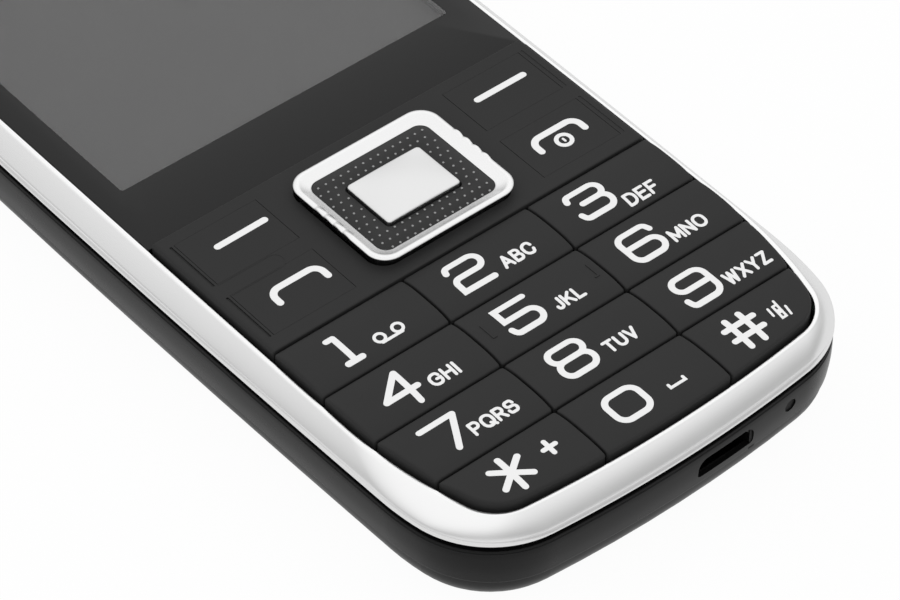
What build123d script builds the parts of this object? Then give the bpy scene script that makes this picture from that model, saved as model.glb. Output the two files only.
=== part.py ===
from build123d import *
import os
from collections import namedtuple
from math import asin, degrees, sqrt

os.makedirs("parts", exist_ok=True)

# A feature phone lying on its back, in millimetres: +X to its right, +Y towards the earpiece end
# and +Z out of the face. The origin is the middle of the back, on the surface it lies on.
#
# Outline of the phone, seen from the front
side_radius = 1900.0
shoulder_start = 14.5
shoulder_radius = 30.0
corner_radius = 11.0
end_radius = 160.0

# Inner edge of the silver bezel, which frames the lens and the keys
bezel_side_width = 2.62
bezel_end_width = 2.45
window_side_radius = 9000.0
window_shoulder_start = 20.75
window_shoulder_radius = 57.0
window_corner_radius = 5.0
window_end_radius = 155.0

# Heights, stacked from the back up
cover_height = 3.6
frame_height = 4.7
seam_height = 0.5
bezel_lip_height = 0.4
bezel_rise = 2.6
bezel_skirt = 1.4
bezel_flank_shares = ((0.07, 0.27), (0.2, 0.54), (0.4, 0.77), (0.64, 0.93))
key_step = 0.8
crown_radius = 600.0

# Walls and clearances
cover_wall = 1.1
frame_wall = 1.5
floor_thickness = 0.6
frame_draft = 0.3
shell_inset = 0.2
back_edge_radius = 3.4
cover_inner_radius = 2.4
edge_break = 0.12
fit_gap = 0.1
key_gap = 0.16
window_gap = 0.12
overrun = 1.0

# Key layout: the line between the function keys and the digits, then rows and columns
function_line_from_end = 34.2
function_height = 19.9
row_pitch = 7.8
column_pitch = 16.36
key_swell = 0.22
key_travel = 0.4
key_thickness = 2.65
key_rim_radius = 0.7
key_stem_radius = 1.6

# Function plate and its four flexing key tabs, measured up from the function line
plate_depth = 3.0
tab_thickness = 1.4
tab_from_bezel = 1.83
tab_from_ring = 3.0
tab_gap = 0.06
groove_width = 0.2
call_low = 1.9
call_high = 9.0
soft_low = 11.05
soft_high = 18.3
tab_stem_inset = 4.1
hook_count = 3
hook_width = 5.0
hook_reach = 1.5
hook_thickness = 0.7
hook_neck = 0.4

# Navigation ring, its dotted plate, its gimbal and the middle key
nav_centre_y = 9.75
ring_width = 18.8
ring_length = 15.8
ring_corner_radius = 3.0
ring_band = 1.75
ring_rise = 0.55
ring_height = 1.95
ring_gap = 0.35
ring_ledge = 0.75
ring_ledge_height = 0.6
ring_edge_radius = 0.6
nav_plate_rise = 0.15
nav_plate_thickness = 0.85
ok_width = 9.5
ok_length = 6.6
ok_corner_radius = 0.4
ok_rise = 0.5
ok_gap = 0.18
ok_edge_radius = 0.25
gimbal_side_room = 1.0
gimbal_end_room = 1.1
gimbal_bar = 1.6
gimbal_thickness = 0.8
gimbal_pin_radius = 0.35
gimbal_pin_gap = 0.05
gimbal_pin_reach = 2.0
gimbal_drop = 2.2
lug_width = 2.4
lug_thickness = 0.8
lug_gap = 0.2
lug_wall = 0.5
stem_width = 1.5
stem_thickness = 0.7
stem_offset = 2.5

# Display: lens, tape, panel and tray
lens_thickness = 1.1
tape_thickness = 0.15
tape_width = 1.2
active_width = 43.2
active_length = 57.6
active_from_line = 28.6
display_side_border = 3.33
display_from_end = 14.6
panel_border = 1.0
panel_border_low = 3.0
panel_thickness = 1.0
tray_wall = 0.5
tray_floor = 0.8
tray_lip = 0.75
housing_plate = 0.9
opening_margin = 0.5

# Earpiece
earpiece_from_end = 8.6
earpiece_slot_length = 11.0
earpiece_slot_width = 1.5
earpiece_width = 13.0
earpiece_length = 6.5
earpiece_height = 1.75
mesh_thickness = 0.4

# Front housing: walls, snap tabs and screw bosses
seam_inset = 0.6
housing_inset = 1.2
housing_shelf = 0.5
snap_width = 6.0
snap_depth = 1.6
snap_thickness = 0.6
snap_inset = 2.15
snap_from_end = 27.5
snap_middle_y = 2.0
boss_radius = 1.7
boss_from_side = 6.55
boss_low_from_line = 22.55
boss_top_from_end = 7.4
screw_radius = 0.8
screw_gap = 0.03
screw_head_radius = 1.4
screw_head_height = 0.7
screw_length = 4.4
screw_recess_radius = 0.5
screw_recess_depth = 0.35

# Keypad mat, domes and board
mat_thickness = 0.5
mat_rim_width = 0.7
mat_inset = 0.6
plunger_radius = 1.2
plunger_height = 0.8
dome_radius = 1.75
dome_height = 0.35
dome_sheet_thickness = 0.1
board_thickness = 1.0
board_inset = 3.2
board_ledge = 1.0
board_ledge_width = 1.9
can_height = 0.9
can_from_middle = 2.0
can_length = 24.0
can_offset = 1.0

# Battery bay
battery_side_room = 10.55
battery_length = 50.0
battery_thickness = 3.7
battery_corner_radius = 1.5
battery_from_end = 33.5
battery_gap = 0.3
bay_wall = 1.0
contact_count = 3
contact_pitch = 3.0
contact_width = 1.2
contact_length = 2.6

# Card holders on the underside of the board
sim_width = 16.0
sim_length = 14.0
sim_height = 1.4
sim_x = -11.5
memory_width = 14.5
memory_length = 14.0
memory_x = 11.0
holder_from_battery = 8.0
holder_slot = 0.8
holder_wall = 0.3

# Socket, microphone and their openings in the bottom wall
usb_x = 5.05
usb_slot_width = 7.1
usb_slot_height = 3.25
usb_slot_corner = 1.1
usb_width = 7.4
usb_length = 5.2
usb_height = 2.4
usb_wall = 0.3
usb_tongue_width = 4.0
usb_tongue_height = 0.6
usb_setback = 2.2
mic_x = 13.9
mic_below_face = 5.6
mic_hole_radius = 0.6
mic_radius = 1.2
mic_length = 1.2
mic_notch = 3.2
mic_notch_depth = 2.2

# Loudspeaker, vibration motor, camera and antenna behind the cover
speaker_width = 18.0
speaker_length = 12.0
speaker_height = 3.4
speaker_x = -8.0
speaker_from_end = 18.5
speaker_corner_radius = 2.0
grille_count = 5
grille_pitch = 2.2
grille_slot_width = 0.9
grille_slot_length = 9.0
motor_radius = 1.75
motor_length = 7.5
motor_x = 5.5
motor_from_end = 20.5
motor_shaft_radius = 0.35
motor_shaft_gap = 0.05
motor_shaft_reach = 4.2
weight_radius = 1.7
weight_length = 3.0
weight_gap = 0.5
camera_size = 6.5
camera_base = 2.6
camera_barrel_radius = 2.6
camera_from_end = 21.5
camera_window_radius = 3.6
camera_window_thickness = 0.9
camera_window_gap = 0.05
antenna_width = 29.0
antenna_length = 5.6
antenna_height = 3.4
antenna_from_end = 12.2
antenna_strip_thickness = 0.15
antenna_strip_width = 1.0

# Cover catches that slide under keepers on the frame
catch_from_bottom = 21.5
catch_middle_y = -4.0
catch_from_top = 29.5
catch_length = 4.0
catch_stem = 0.8
catch_reach = 0.75
catch_lip = 0.45
catch_gap = 0.35
keeper_height = 0.5
keeper_gap = 0.15
grip_count = 4
grip_pitch = 1.8
grip_width = 18.0
grip_groove = 0.7
grip_depth = 0.3
grip_from_end = 10.5

# Overall size: the display and its borders set the width, the display and the keys the length
body_width = active_width + (display_side_border + bezel_side_width) * 2
body_length = function_line_from_end + active_from_line + active_length + display_from_end
half_length = body_length / 2

# Levels and edges worked out from the values above
parting_z = cover_height
frame_top_z = parting_z + frame_height
bezel_low_z = frame_top_z + seam_height
bezel_wide_z = bezel_low_z + bezel_lip_height
bezel_top_z = bezel_wide_z + bezel_rise
face_z = bezel_top_z + key_step
lens_low_z = bezel_top_z - lens_thickness
plate_top_z = lens_low_z - tape_thickness
plate_low_z = plate_top_z - housing_plate
key_low_z = face_z - key_thickness
mat_top_z = key_low_z - key_travel - fit_gap / 2
mat_low_z = mat_top_z - mat_thickness
dome_low_z = mat_low_z - plunger_height - fit_gap / 2 - dome_height
board_top_z = dome_low_z - dome_sheet_thickness
board_low_z = board_top_z - board_thickness
floor_top_z = board_low_z - board_ledge
floor_low_z = floor_top_z - floor_thickness
function_line_y = function_line_from_end - half_length
function_top_y = function_line_y + function_height
nav_y = function_line_y + nav_centre_y
active_low_y = function_line_y + active_from_line
active_high_y = active_low_y + active_length
earpiece_y = half_length - earpiece_from_end
gimbal_width = ring_width - gimbal_side_room * 2
gimbal_length = ring_length - gimbal_end_room * 2
tab_outer_x = body_width / 2 - bezel_side_width - tab_from_bezel
tab_inner_x = ring_width / 2 + tab_from_ring
tab_stem_x = tab_outer_x - tab_stem_inset
battery_width = body_width - battery_side_room * 2
battery_low_y = battery_from_end - half_length
battery_high_y = battery_low_y + battery_length
can_width = battery_width / 2 - can_from_middle
can_x = can_from_middle + can_width / 2
can_y = (battery_low_y + battery_high_y) / 2 + can_offset
holder_y = battery_high_y + holder_from_battery + sim_length / 2
speaker_y = speaker_from_end - half_length
motor_y = motor_from_end - half_length
camera_y = half_length - camera_from_end
antenna_y = half_length - antenna_from_end
grip_y = half_length - grip_from_end
catch_places = (catch_from_bottom - half_length, catch_middle_y, half_length - catch_from_top)
snap_places = (snap_from_end - half_length, snap_middle_y, half_length - snap_from_end)
boss_x = body_width / 2 - boss_from_side
contact_y = battery_high_y + fit_gap + contact_length / 2
boss_low_y = function_line_y + boss_low_from_line
boss_high_y = half_length - boss_top_from_end
frame_inset = shell_inset + frame_draft + frame_wall
crown_drop = crown_radius - sqrt(crown_radius**2 - (body_width / 2) ** 2)

Shape = namedtuple("Shape", "half_width half_length side shoulder_y shoulder corner end")
body = Shape(
    body_width / 2,
    half_length,
    side_radius,
    half_length - shoulder_start,
    shoulder_radius,
    corner_radius,
    end_radius,
)
window_half_length = half_length - bezel_end_width
window = Shape(
    body_width / 2 - bezel_side_width,
    window_half_length,
    window_side_radius,
    window_half_length - window_shoulder_start,
    window_shoulder_radius,
    window_corner_radius,
    window_end_radius,
)


def crossing(first, first_radius, second, second_radius):
    """The point right of the line between two centres that lies at both radii."""
    apart = second - first
    along = (first_radius**2 - second_radius**2 + apart.length**2) / (2 * apart.length)
    across = sqrt(first_radius**2 - along**2)
    step = apart.normalized()
    return first + step * along + Vector(step.Y, -step.X, 0) * across


def quarter(shape, inset):
    """Joints and arc middles of the outline's +X +Y quarter, drawn inset inside the shape."""
    side_centre = Vector(shape.half_width - shape.side, 0, 0)
    end_centre = Vector(0, shape.half_length - shape.end, 0)
    turn_x = side_centre.X + sqrt(shape.side**2 - shape.shoulder_y**2)
    side_way = (Vector(turn_x, shape.shoulder_y, 0) - side_centre).normalized()
    shoulder_centre = side_centre + side_way * (shape.side - shape.shoulder)
    corner_centre = crossing(
        end_centre, shape.end - shape.corner, shoulder_centre, shape.shoulder - shape.corner
    )
    shoulder_way = (corner_centre - shoulder_centre).normalized()
    end_way = (corner_centre - end_centre).normalized()
    return (
        side_centre + side_way * (shape.side - inset),
        shoulder_centre + (side_way + shoulder_way).normalized() * (shape.shoulder - inset),
        shoulder_centre + shoulder_way * (shape.shoulder - inset),
        corner_centre + (shoulder_way + end_way).normalized() * (shape.corner - inset),
        corner_centre + end_way * (shape.corner - inset),
    )


def outline(shape, inset, height):
    """The closed outline of a shape at one height, drawn inset inside it."""
    arcs = []
    turn, shoulder_middle, shoulder_end, corner_middle, corner_end = quarter(shape, inset)
    tip = Vector(0, shape.half_length - inset, 0)
    flank = Vector(shape.half_width - inset, 0, 0)

    def place(point, x_side, y_side):
        return Vector(point.X * x_side, point.Y * y_side, height)

    for x_side, y_side in ((1, 1), (-1, 1), (-1, -1), (1, -1)):
        joints = [
            (turn, shoulder_middle, shoulder_end),
            (shoulder_end, corner_middle, corner_end),
        ]
        if x_side * y_side < 0:
            joints = [(last, middle, first) for first, middle, last in reversed(joints)]
        for first, middle, last in joints:
            arcs.append(ThreePointArc(*(place(point, x_side, y_side) for point in (first, middle, last))))
        if x_side == y_side:
            ends = (place(corner_end, 1, y_side), place(tip, 1, y_side), place(corner_end, -1, y_side))
        else:
            ends = (place(turn, x_side, 1), place(flank, x_side, 1), place(turn, x_side, -1))
        arcs.append(ThreePointArc(*ends))
    return Wire(arcs)


def prism(shape, inset, low, high):
    """An upright solid with the given outline."""
    return extrude(Face(outline(shape, inset, low)), high - low, dir=(0, 0, 1))


def ring(shape, outer_inset, inner_inset, low, high):
    """An upright wall that follows the given outline."""
    core = prism(shape, inner_inset, low - overrun, high + overrun)
    return prism(shape, outer_inset, low, high) - core


def block(low_x, high_x, low_y, high_y, low_z, high_z):
    """A box between two corners."""
    size = (high_x - low_x, high_y - low_y, high_z - low_z)
    return Pos(low_x, low_y, low_z) * Box(*size, align=(Align.MIN, Align.MIN, Align.MIN))


def centred(x, y, width, length, low, high):
    """A box centred on a point of the plan."""
    return block(x - width / 2, x + width / 2, y - length / 2, y + length / 2, low, high)


def rounded(x, y, width, length, radius, low, high):
    """An upright slab with rounded corners, centred on a point of the plan."""
    face = Pos(x, y, low) * RectangleRounded(width, length, radius)
    return extrude(face, high - low, dir=(0, 0, 1))


def post(x, y, radius, low, high):
    """An upright round post."""
    return Pos(x, y, low) * Cylinder(radius, high - low, align=(Align.CENTER, Align.CENTER, Align.MIN))


def rod(start, way, radius, length):
    """A round rod from a point, along a direction."""
    plane = Plane(origin=start, z_dir=way)
    return plane * Cylinder(radius, length, align=(Align.CENTER, Align.CENTER, Align.MIN))


def group(pieces):
    """Separate solids kept in one node."""
    return Compound(children=list(pieces))


def top_edges(shape, low, high):
    """Edges that lie between two heights and do not run upwards."""
    found = []
    for edge in shape.edges():
        box = edge.bounding_box()
        if box.min.Z >= low and box.max.Z <= high:
            found.append(edge)
    return found


def side_x(y):
    """Half the phone's width at a place along its straight flank."""
    return body.half_width - body.side + sqrt(body.side**2 - y**2)


def slot(x, y, length, width, low, high, angle=0):
    """An upright cutter with round ends, its length along X."""
    face = Pos(x, y, low) * Rot(0, 0, angle) * SlotOverall(length, width)
    return extrude(face, high - low, dir=(0, 0, 1))


def make_battery_cover():
    """The shallow tray that closes the back, its lower edge rounded all the way round."""
    outer_inset = shell_inset + frame_draft
    shell = prism(body, outer_inset, 0, parting_z)
    shell = fillet(top_edges(shell, -overrun / 2, overrun / 2), back_edge_radius)
    hollow = prism(body, outer_inset + cover_wall, cover_wall, parting_z + overrun)
    hollow = fillet(top_edges(hollow, 0, cover_wall + overrun / 2), cover_inner_radius)
    cover = shell - hollow
    for index in range(grille_count):
        x = speaker_x + (index - (grille_count - 1) / 2) * grille_pitch
        size = (grille_slot_length, grille_slot_width)
        cover -= slot(x, speaker_y, *size, -overrun, cover_wall + overrun, 90)
    cover -= post(0, camera_y, camera_window_radius + camera_window_gap, -overrun, cover_wall + overrun)
    for index in range(grip_count):
        cover -= slot(0, grip_y - index * grip_pitch, grip_width, grip_groove, -overrun, grip_depth)
    lip_low = parting_z + keeper_gap * 2 + keeper_height
    for place_y in catch_places:
        outer = side_x(place_y) - frame_inset - catch_gap
        stem = outer - catch_reach
        inner = stem - catch_stem
        low_y = place_y - catch_length / 2
        high_y = place_y + catch_length / 2
        for side in (-1, 1):
            stem_span = sorted((side * inner, side * stem))
            lip_span = sorted((side * inner, side * outer))
            cover += block(*stem_span, low_y, high_y, cover_wall / 2, lip_low + catch_lip)
            cover += block(*lip_span, low_y, high_y, lip_low, lip_low + catch_lip)
    return cover


def make_camera_window():
    """The clear disc over the camera, flush with the back."""
    return post(0, camera_y, camera_window_radius, fit_gap, fit_gap + camera_window_thickness)


def usb_cutter(low_y, high_y):
    """The socket's slot, open downwards at the parting line, with rounded upper corners."""
    centre_z = parting_z + usb_slot_height / 2 - overrun / 2
    face = Plane.XZ * Pos(usb_x, centre_z) * Rectangle(usb_slot_width, usb_slot_height + overrun)
    cutter = extrude(face, high_y - low_y, dir=(0, 1, 0))
    cutter = Pos(0, low_y, 0) * cutter
    upper = [edge for edge in cutter.edges().filter_by(Axis.Y) if edge.center().Z > centre_z]
    return fillet(upper, usb_slot_corner)


def make_mid_frame():
    """The dark middle casing: side wall, floor over the battery, bay walls and keepers."""
    lower = outline(body, shell_inset + frame_draft, parting_z)
    upper = outline(body, shell_inset, frame_top_z)
    frame = loft([Face(lower), Face(upper)], ruled=True)
    frame -= prism(body, frame_inset, parting_z - overrun, frame_top_z + overrun)
    half_wall = frame_inset - frame_wall / 2
    frame += prism(body, half_wall, floor_low_z, floor_top_z)
    frame += ring(body, half_wall, frame_inset + board_ledge_width, floor_low_z, board_low_z)
    bay_low = battery_low_y - battery_gap
    bay_high = battery_high_y + battery_gap + contact_length + battery_gap
    bay_x = battery_width / 2 + battery_gap
    bay_z = cover_wall + battery_gap
    bay = block(
        -bay_x - bay_wall, bay_x + bay_wall, bay_low - bay_wall, bay_high + bay_wall, bay_z, floor_top_z
    )
    bay -= block(-bay_x, bay_x, bay_low, bay_high, bay_z - overrun, floor_low_z)
    frame += bay
    for place_y in catch_places:
        low_y = place_y - catch_length / 2
        high_y = place_y + catch_length / 2
        wall_x = side_x(place_y) - frame_inset
        inner = wall_x - catch_gap - catch_reach + keeper_gap
        for side in (-1, 1):
            span = sorted((side * inner, side * (wall_x + frame_wall / 2)))
            low_z = parting_z + keeper_gap
            frame += block(*span, low_y, high_y, low_z, low_z + keeper_height)
    low = floor_low_z - overrun
    high = floor_top_z + board_ledge / 2
    contact_span = contact_pitch * (contact_count - 1) + contact_width + battery_gap * 2
    frame -= centred(0, contact_y, contact_span, contact_length + battery_gap, low, high)
    for x, width, length in ((sim_x, sim_width, sim_length), (memory_x, memory_width, memory_length)):
        frame -= centred(x, holder_y, width + battery_gap * 2, length + battery_gap * 2, low, high)
    camera_span = camera_size + battery_gap * 2
    frame -= centred(0, camera_y, camera_span, camera_span, low, high)
    end_y = -body_length / 2
    usb_pocket = usb_width + battery_gap
    frame -= block(
        usb_x - usb_pocket / 2,
        usb_x + usb_pocket / 2,
        end_y + frame_inset,
        end_y + usb_setback + usb_length + battery_gap,
        low,
        board_low_z + overrun,
    )
    frame -= usb_cutter(end_y - overrun, end_y + frame_inset + overrun)
    mic_z = face_z - mic_below_face
    mic_wall_y = mic_front_y() - fit_gap
    hole_length = mic_wall_y - end_y + overrun * 2
    frame -= rod((mic_x, end_y - overrun, mic_z), (0, 1, 0), mic_hole_radius, hole_length)
    frame -= block(
        mic_x - mic_notch / 2,
        mic_x + mic_notch / 2,
        mic_wall_y,
        mic_wall_y + mic_notch_depth,
        floor_top_z,
        frame_top_z + overrun,
    )
    for x, y in boss_places():
        frame -= post(x, y, screw_radius + screw_gap, low, high)
        frame -= post(x, y, boss_radius + fit_gap, floor_top_z, board_low_z + overrun)
    return frame


def mic_front_y():
    """Where the microphone's face stands, just inside the curved bottom wall."""
    return -body_length / 2 + mic_x**2 / (2 * body.end) + frame_inset + fit_gap


def boss_places():
    """The four screw bosses, either side of the display."""
    return [(side * boss_x, y) for side in (-1, 1) for y in (boss_low_y, boss_high_y)]


def make_front_housing():
    """The front shell: outer wall, plate behind the lens, snap tabs and screw bosses."""
    wall_top = bezel_top_z - bezel_skirt - fit_gap
    housing = prism(body, seam_inset, frame_top_z + fit_gap / 2, bezel_low_z)
    housing += prism(body, housing_inset, bezel_low_z, wall_top)
    housing += prism(window, window_gap, wall_top, plate_top_z)
    housing -= prism(window, housing_shelf, frame_top_z - overrun, plate_low_z)
    opening = prism(window, 0, frame_top_z - overrun, plate_top_z + overrun)
    opening &= block(
        -body_width, body_width, -body_length, function_top_y + fit_gap, 0, plate_top_z + overrun * 2
    )
    housing -= opening
    housing -= block(
        -active_width / 2 - opening_margin,
        active_width / 2 + opening_margin,
        active_low_y - opening_margin,
        active_high_y + opening_margin,
        plate_low_z - overrun,
        plate_top_z + overrun,
    )
    sound = earpiece_slot_length - earpiece_slot_width
    through = (plate_low_z - overrun, plate_top_z + overrun)
    housing -= slot(0, earpiece_y, sound, earpiece_slot_width / 2, *through)
    tabs = ring(body, snap_inset, snap_inset + snap_thickness, frame_top_z - snap_depth, bezel_low_z)
    for place_y in snap_places:
        housing += tabs & block(
            -body_width, body_width, place_y - snap_width / 2, place_y + snap_width / 2, 0, face_z
        )
    for x, y in boss_places():
        housing += post(x, y, boss_radius, floor_top_z + fit_gap, plate_low_z + housing_plate / 2)
        housing -= post(x, y, screw_radius + screw_gap, 0, floor_low_z + screw_length + fit_gap)
    return housing


def make_housing_screws():
    """Four equal screws that pull the middle casing and the front shell together."""
    screws = []
    for x, y in boss_places():
        head = post(x, y, screw_head_radius, floor_low_z - screw_head_height, floor_low_z)
        head -= post(x, y, screw_recess_radius, 0, floor_low_z - screw_head_height + screw_recess_depth)
        screws.append(head + post(x, y, screw_radius, floor_low_z, floor_low_z + screw_length))
    return group(screws)


def blend(share):
    """A shape between the bezel's outer edge, at 0, and its inner edge, at 1."""
    return Shape(*(outer + (inner - outer) * share for outer, inner in zip(body, window)))


def make_bezel_ring():
    """The silver ring: a narrow lip low down, a full round flank and a flatter band inside."""
    wide = Face(outline(body, 0, bezel_wide_z))
    lip = loft([Face(outline(body, edge_break, bezel_low_z)), wide], ruled=True)
    sections = [wide]
    for inward, upward in bezel_flank_shares:
        sections.append(Face(outline(blend(inward), 0, bezel_wide_z + bezel_rise * upward)))
    sections.append(Face(outline(window, 0, bezel_top_z)))
    bezel = lip + loft(sections)
    bezel -= prism(window, 0, bezel_low_z - overrun, bezel_top_z + overrun)
    bezel -= prism(body, housing_inset - fit_gap, bezel_low_z - overrun, bezel_top_z - bezel_skirt)
    return bezel


def crown_slab(low_y, high_y, rise, bottom_z):
    """A slab across the phone, crowned over its width, whose top swells by a rise along Y."""
    deep = bottom_z - crown_drop - overrun
    front = Vector(0, low_y, face_z)
    back = Vector(0, high_y, face_z)
    top = Line(front, back)
    if rise:
        top = ThreePointArc(front, Vector(0, (low_y + high_y) / 2, face_z + rise), back)
    low_front = Vector(0, low_y, deep)
    low_back = Vector(0, high_y, deep)
    face = Face(Wire([top, Line(back, low_back), Line(low_back, low_front), Line(low_front, front)]))
    hinge_line = Axis((0, 0, face_z - crown_radius), (0, 1, 0))
    half_turn = degrees(asin((body_width / 2 + overrun) / crown_radius))
    return revolve(face.rotate(hinge_line, -half_turn), hinge_line, half_turn * 2)


def keypad_envelope(bottom_z):
    """The whole key area in one block, crowned, with its outer rim rounded."""
    low_y = -window.half_length
    plan = prism(window, window_gap, bottom_z, face_z + overrun)
    plan &= block(-body_width, body_width, low_y - overrun, function_top_y, 0, face_z + overrun * 2)
    slab = crown_slab(low_y - overrun, function_top_y + overrun, 0, bottom_z)
    solid = plan & (Pos(0, 0, key_swell) * slab)
    return fillet(top_edges(solid, face_z - crown_drop - overrun / 2, face_z + overrun), key_rim_radius)


key_names = (
    ("key_1", "key_2", "key_3"),
    ("key_4", "key_5", "key_6"),
    ("key_7", "key_8", "key_9"),
    ("key_star", "key_0", "key_hash"),
)


def key_centres():
    """Name and plan centre of each digit key."""
    places = {}
    for row, names in enumerate(key_names):
        for column, name in enumerate(names):
            x = (column - 1) * column_pitch
            places[name] = (x, function_line_y - row_pitch * (row + 1 / 2))
    return places


def make_digit_keys():
    """Twelve caps cut from the key area by narrow gaps, each with its own swell and a stem."""
    envelope = keypad_envelope(key_low_z)
    half = column_pitch / 2
    columns = ((-body_width, -half), (-half, half), (half, body_width))
    keys = {}
    for row, names in enumerate(key_names):
        high_y = function_line_y - row_pitch * row
        low_y = high_y - row_pitch
        last = row == len(key_names) - 1
        cell_low = -body_length if last else low_y + key_gap / 2
        if last:
            low_y = -window.half_length
        slab = crown_slab(low_y, high_y, key_swell, key_low_z) & envelope
        for name, (low_x, high_x) in zip(names, columns):
            cell = block(
                low_x + key_gap / 2, high_x - key_gap / 2, cell_low, high_y - key_gap / 2, 0, face_z + overrun
            )
            keys[name] = slab & cell
    return keys


def tab_places():
    """Name, side and Y span of the four function keys."""
    soft = (function_line_y + soft_low, function_line_y + soft_high)
    call = (function_line_y + call_low, function_line_y + call_high)
    return {
        "left_soft_key": (-1, *soft),
        "call_key": (-1, *call),
        "right_soft_key": (1, *soft),
        "end_key": (1, *call),
    }


def function_blank(bottom_z):
    """The function area's block, from the digits' upper line to the lens."""
    low_y = function_line_y + key_gap / 2
    area = block(-body_width, body_width, low_y, function_top_y, 0, face_z + overrun)
    return keypad_envelope(bottom_z) & crown_slab(low_y, function_top_y, 0, bottom_z) & area


def make_function_keys():
    """Four thin tabs that flex at their inner ends, each with a stem that presses its dome."""
    skin = function_blank(face_z - crown_drop - tab_thickness)
    keys = {}
    for name, (side, low_y, high_y) in tab_places().items():
        span = sorted((side * (tab_inner_x + tab_gap), side * (tab_outer_x - groove_width)))
        key = skin & block(*span, low_y + tab_gap, high_y - tab_gap, 0, face_z + overrun)
        middle = (low_y + high_y) / 2
        key += post(side * tab_stem_x, middle, key_stem_radius, key_low_z, face_z - tab_thickness)
        keys[name] = key
    return keys


def make_function_plate():
    """The fixed plate round the function keys and the navigation ring."""
    plate = function_blank(face_z - plate_depth)
    low = face_z - plate_depth - overrun
    high = face_z + overrun
    hole = (ring_width + ring_gap * 2, ring_length + ring_gap * 2, ring_corner_radius + ring_gap)
    plate -= rounded(0, nav_y, *hole, low, high)
    for side, low_y, high_y in tab_places().values():
        span = sorted((side * tab_inner_x, side * tab_outer_x))
        plate -= block(*span, low_y, high_y, low, high)
    hook_top = plate_low_z - fit_gap
    for index in range(hook_count):
        x = (index - (hook_count - 1) / 2) * (boss_x * 2 / hook_count)
        low_x = x - hook_width / 2
        high_x = x + hook_width / 2
        neck_y = function_top_y - hook_neck
        foot = (hook_top - hook_thickness, hook_top)
        plate += block(low_x, high_x, neck_y, function_top_y + hook_reach, *foot)
        plate += block(low_x, high_x, neck_y, function_top_y, foot[0], bezel_top_z)
    pin_z = face_z - gimbal_drop
    socket_x = gimbal_width / 2 + gimbal_pin_reach + fit_gap
    plate -= rod((-socket_x, nav_y, pin_z), (1, 0, 0), gimbal_pin_radius + gimbal_pin_gap, socket_x * 2)
    return plate


def make_nav_gimbal():
    """The hidden frame that lets the ring rock: pins along X in the plate, pins along Y in the ring."""
    low = face_z - gimbal_drop - gimbal_thickness / 2
    high = low + gimbal_thickness
    gimbal = centred(0, nav_y, gimbal_width, gimbal_length, low, high)
    inner = (gimbal_width - gimbal_bar * 2, gimbal_length - gimbal_bar * 2)
    gimbal -= centred(0, nav_y, *inner, low - overrun, high + overrun)
    pin_z = face_z - gimbal_drop
    reach = gimbal_pin_reach + gimbal_bar / 2
    lug_reach = lug_gap + lug_thickness + gimbal_bar / 2
    for side in (-1, 1):
        start_x = side * (gimbal_width - gimbal_bar) / 2
        start_y = nav_y + side * (gimbal_length - gimbal_bar) / 2
        gimbal += rod((start_x, nav_y, pin_z), (side, 0, 0), gimbal_pin_radius, reach)
        gimbal += rod((0, start_y, pin_z), (0, side, 0), gimbal_pin_radius, lug_reach)
    return gimbal


def make_nav_ring():
    """The silver ring with a round outer edge, a ledge for its plate, lugs and stems."""
    top = face_z + ring_rise
    low = top - ring_height
    frame = rounded(0, nav_y, ring_width, ring_length, ring_corner_radius, low, top)
    hole = (ring_width - ring_band * 2, ring_length - ring_band * 2)
    hole_radius = ring_corner_radius - ring_band
    frame -= rounded(0, nav_y, *hole, hole_radius, low + ring_ledge_height, top + overrun)
    ledge = (hole[0] - ring_ledge * 2, hole[1] - ring_ledge * 2)
    frame -= rounded(0, nav_y, *ledge, hole_radius, low - overrun, top + overrun)
    frame = fillet(top_edges(frame, top - fit_gap, top + fit_gap), ring_edge_radius)
    pin_z = face_z - gimbal_drop
    for side in (-1, 1):
        lug_y = nav_y + side * (gimbal_length / 2 + lug_gap + lug_thickness / 2)
        frame += centred(0, lug_y, lug_width, lug_thickness, pin_z - lug_wall, low + ring_ledge_height / 2)
        for offset in (-stem_offset, stem_offset):
            stem_x = side * (ring_width - stem_thickness) / 2
            stem = (stem_x, nav_y + offset, stem_thickness, stem_width)
            frame += centred(*stem, key_low_z, low + ring_ledge_height / 2)
    axle_y = nav_y - ring_length
    frame -= rod((0, axle_y, pin_z), (0, 1, 0), gimbal_pin_radius + gimbal_pin_gap, ring_length * 2)
    return frame


def make_nav_plate():
    """The dark plate set into the ring, with a window for the middle key."""
    top = face_z + nav_plate_rise
    low = top - nav_plate_thickness
    size = (ring_width - ring_band * 2 - fit_gap * 2, ring_length - ring_band * 2 - fit_gap * 2)
    plate = rounded(0, nav_y, *size, ring_corner_radius - ring_band - fit_gap, low, top)
    window_size = (ok_width + ok_gap * 2, ok_length + ok_gap * 2, ok_corner_radius + ok_gap)
    return plate - rounded(0, nav_y, *window_size, low - overrun, top + overrun)


def make_ok_key():
    """The silver middle key."""
    top = face_z + ok_rise
    key = rounded(0, nav_y, ok_width, ok_length, ok_corner_radius, key_low_z, top)
    return fillet(top_edges(key, top - fit_gap, top + fit_gap), ok_edge_radius)


def press_places():
    """Every place where a key presses a dome."""
    places = list(key_centres().values())
    for side, low_y, high_y in tab_places().values():
        places.append((side * tab_stem_x, (low_y + high_y) / 2))
    places.append((0, nav_y))
    for side in (-1, 1):
        places.append((side * (ring_width - stem_thickness) / 2, nav_y))
        places.append((0, nav_y + side * (gimbal_length / 2 + lug_gap + lug_thickness / 2)))
    return places


def keypad_area(inset, low, high):
    """The plan of the key area at some inset from the bezel."""
    area = prism(window, inset, low, high)
    return area & block(
        -body_width, body_width, -body_length, function_top_y - inset, low - overrun, high + overrun
    )


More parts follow.
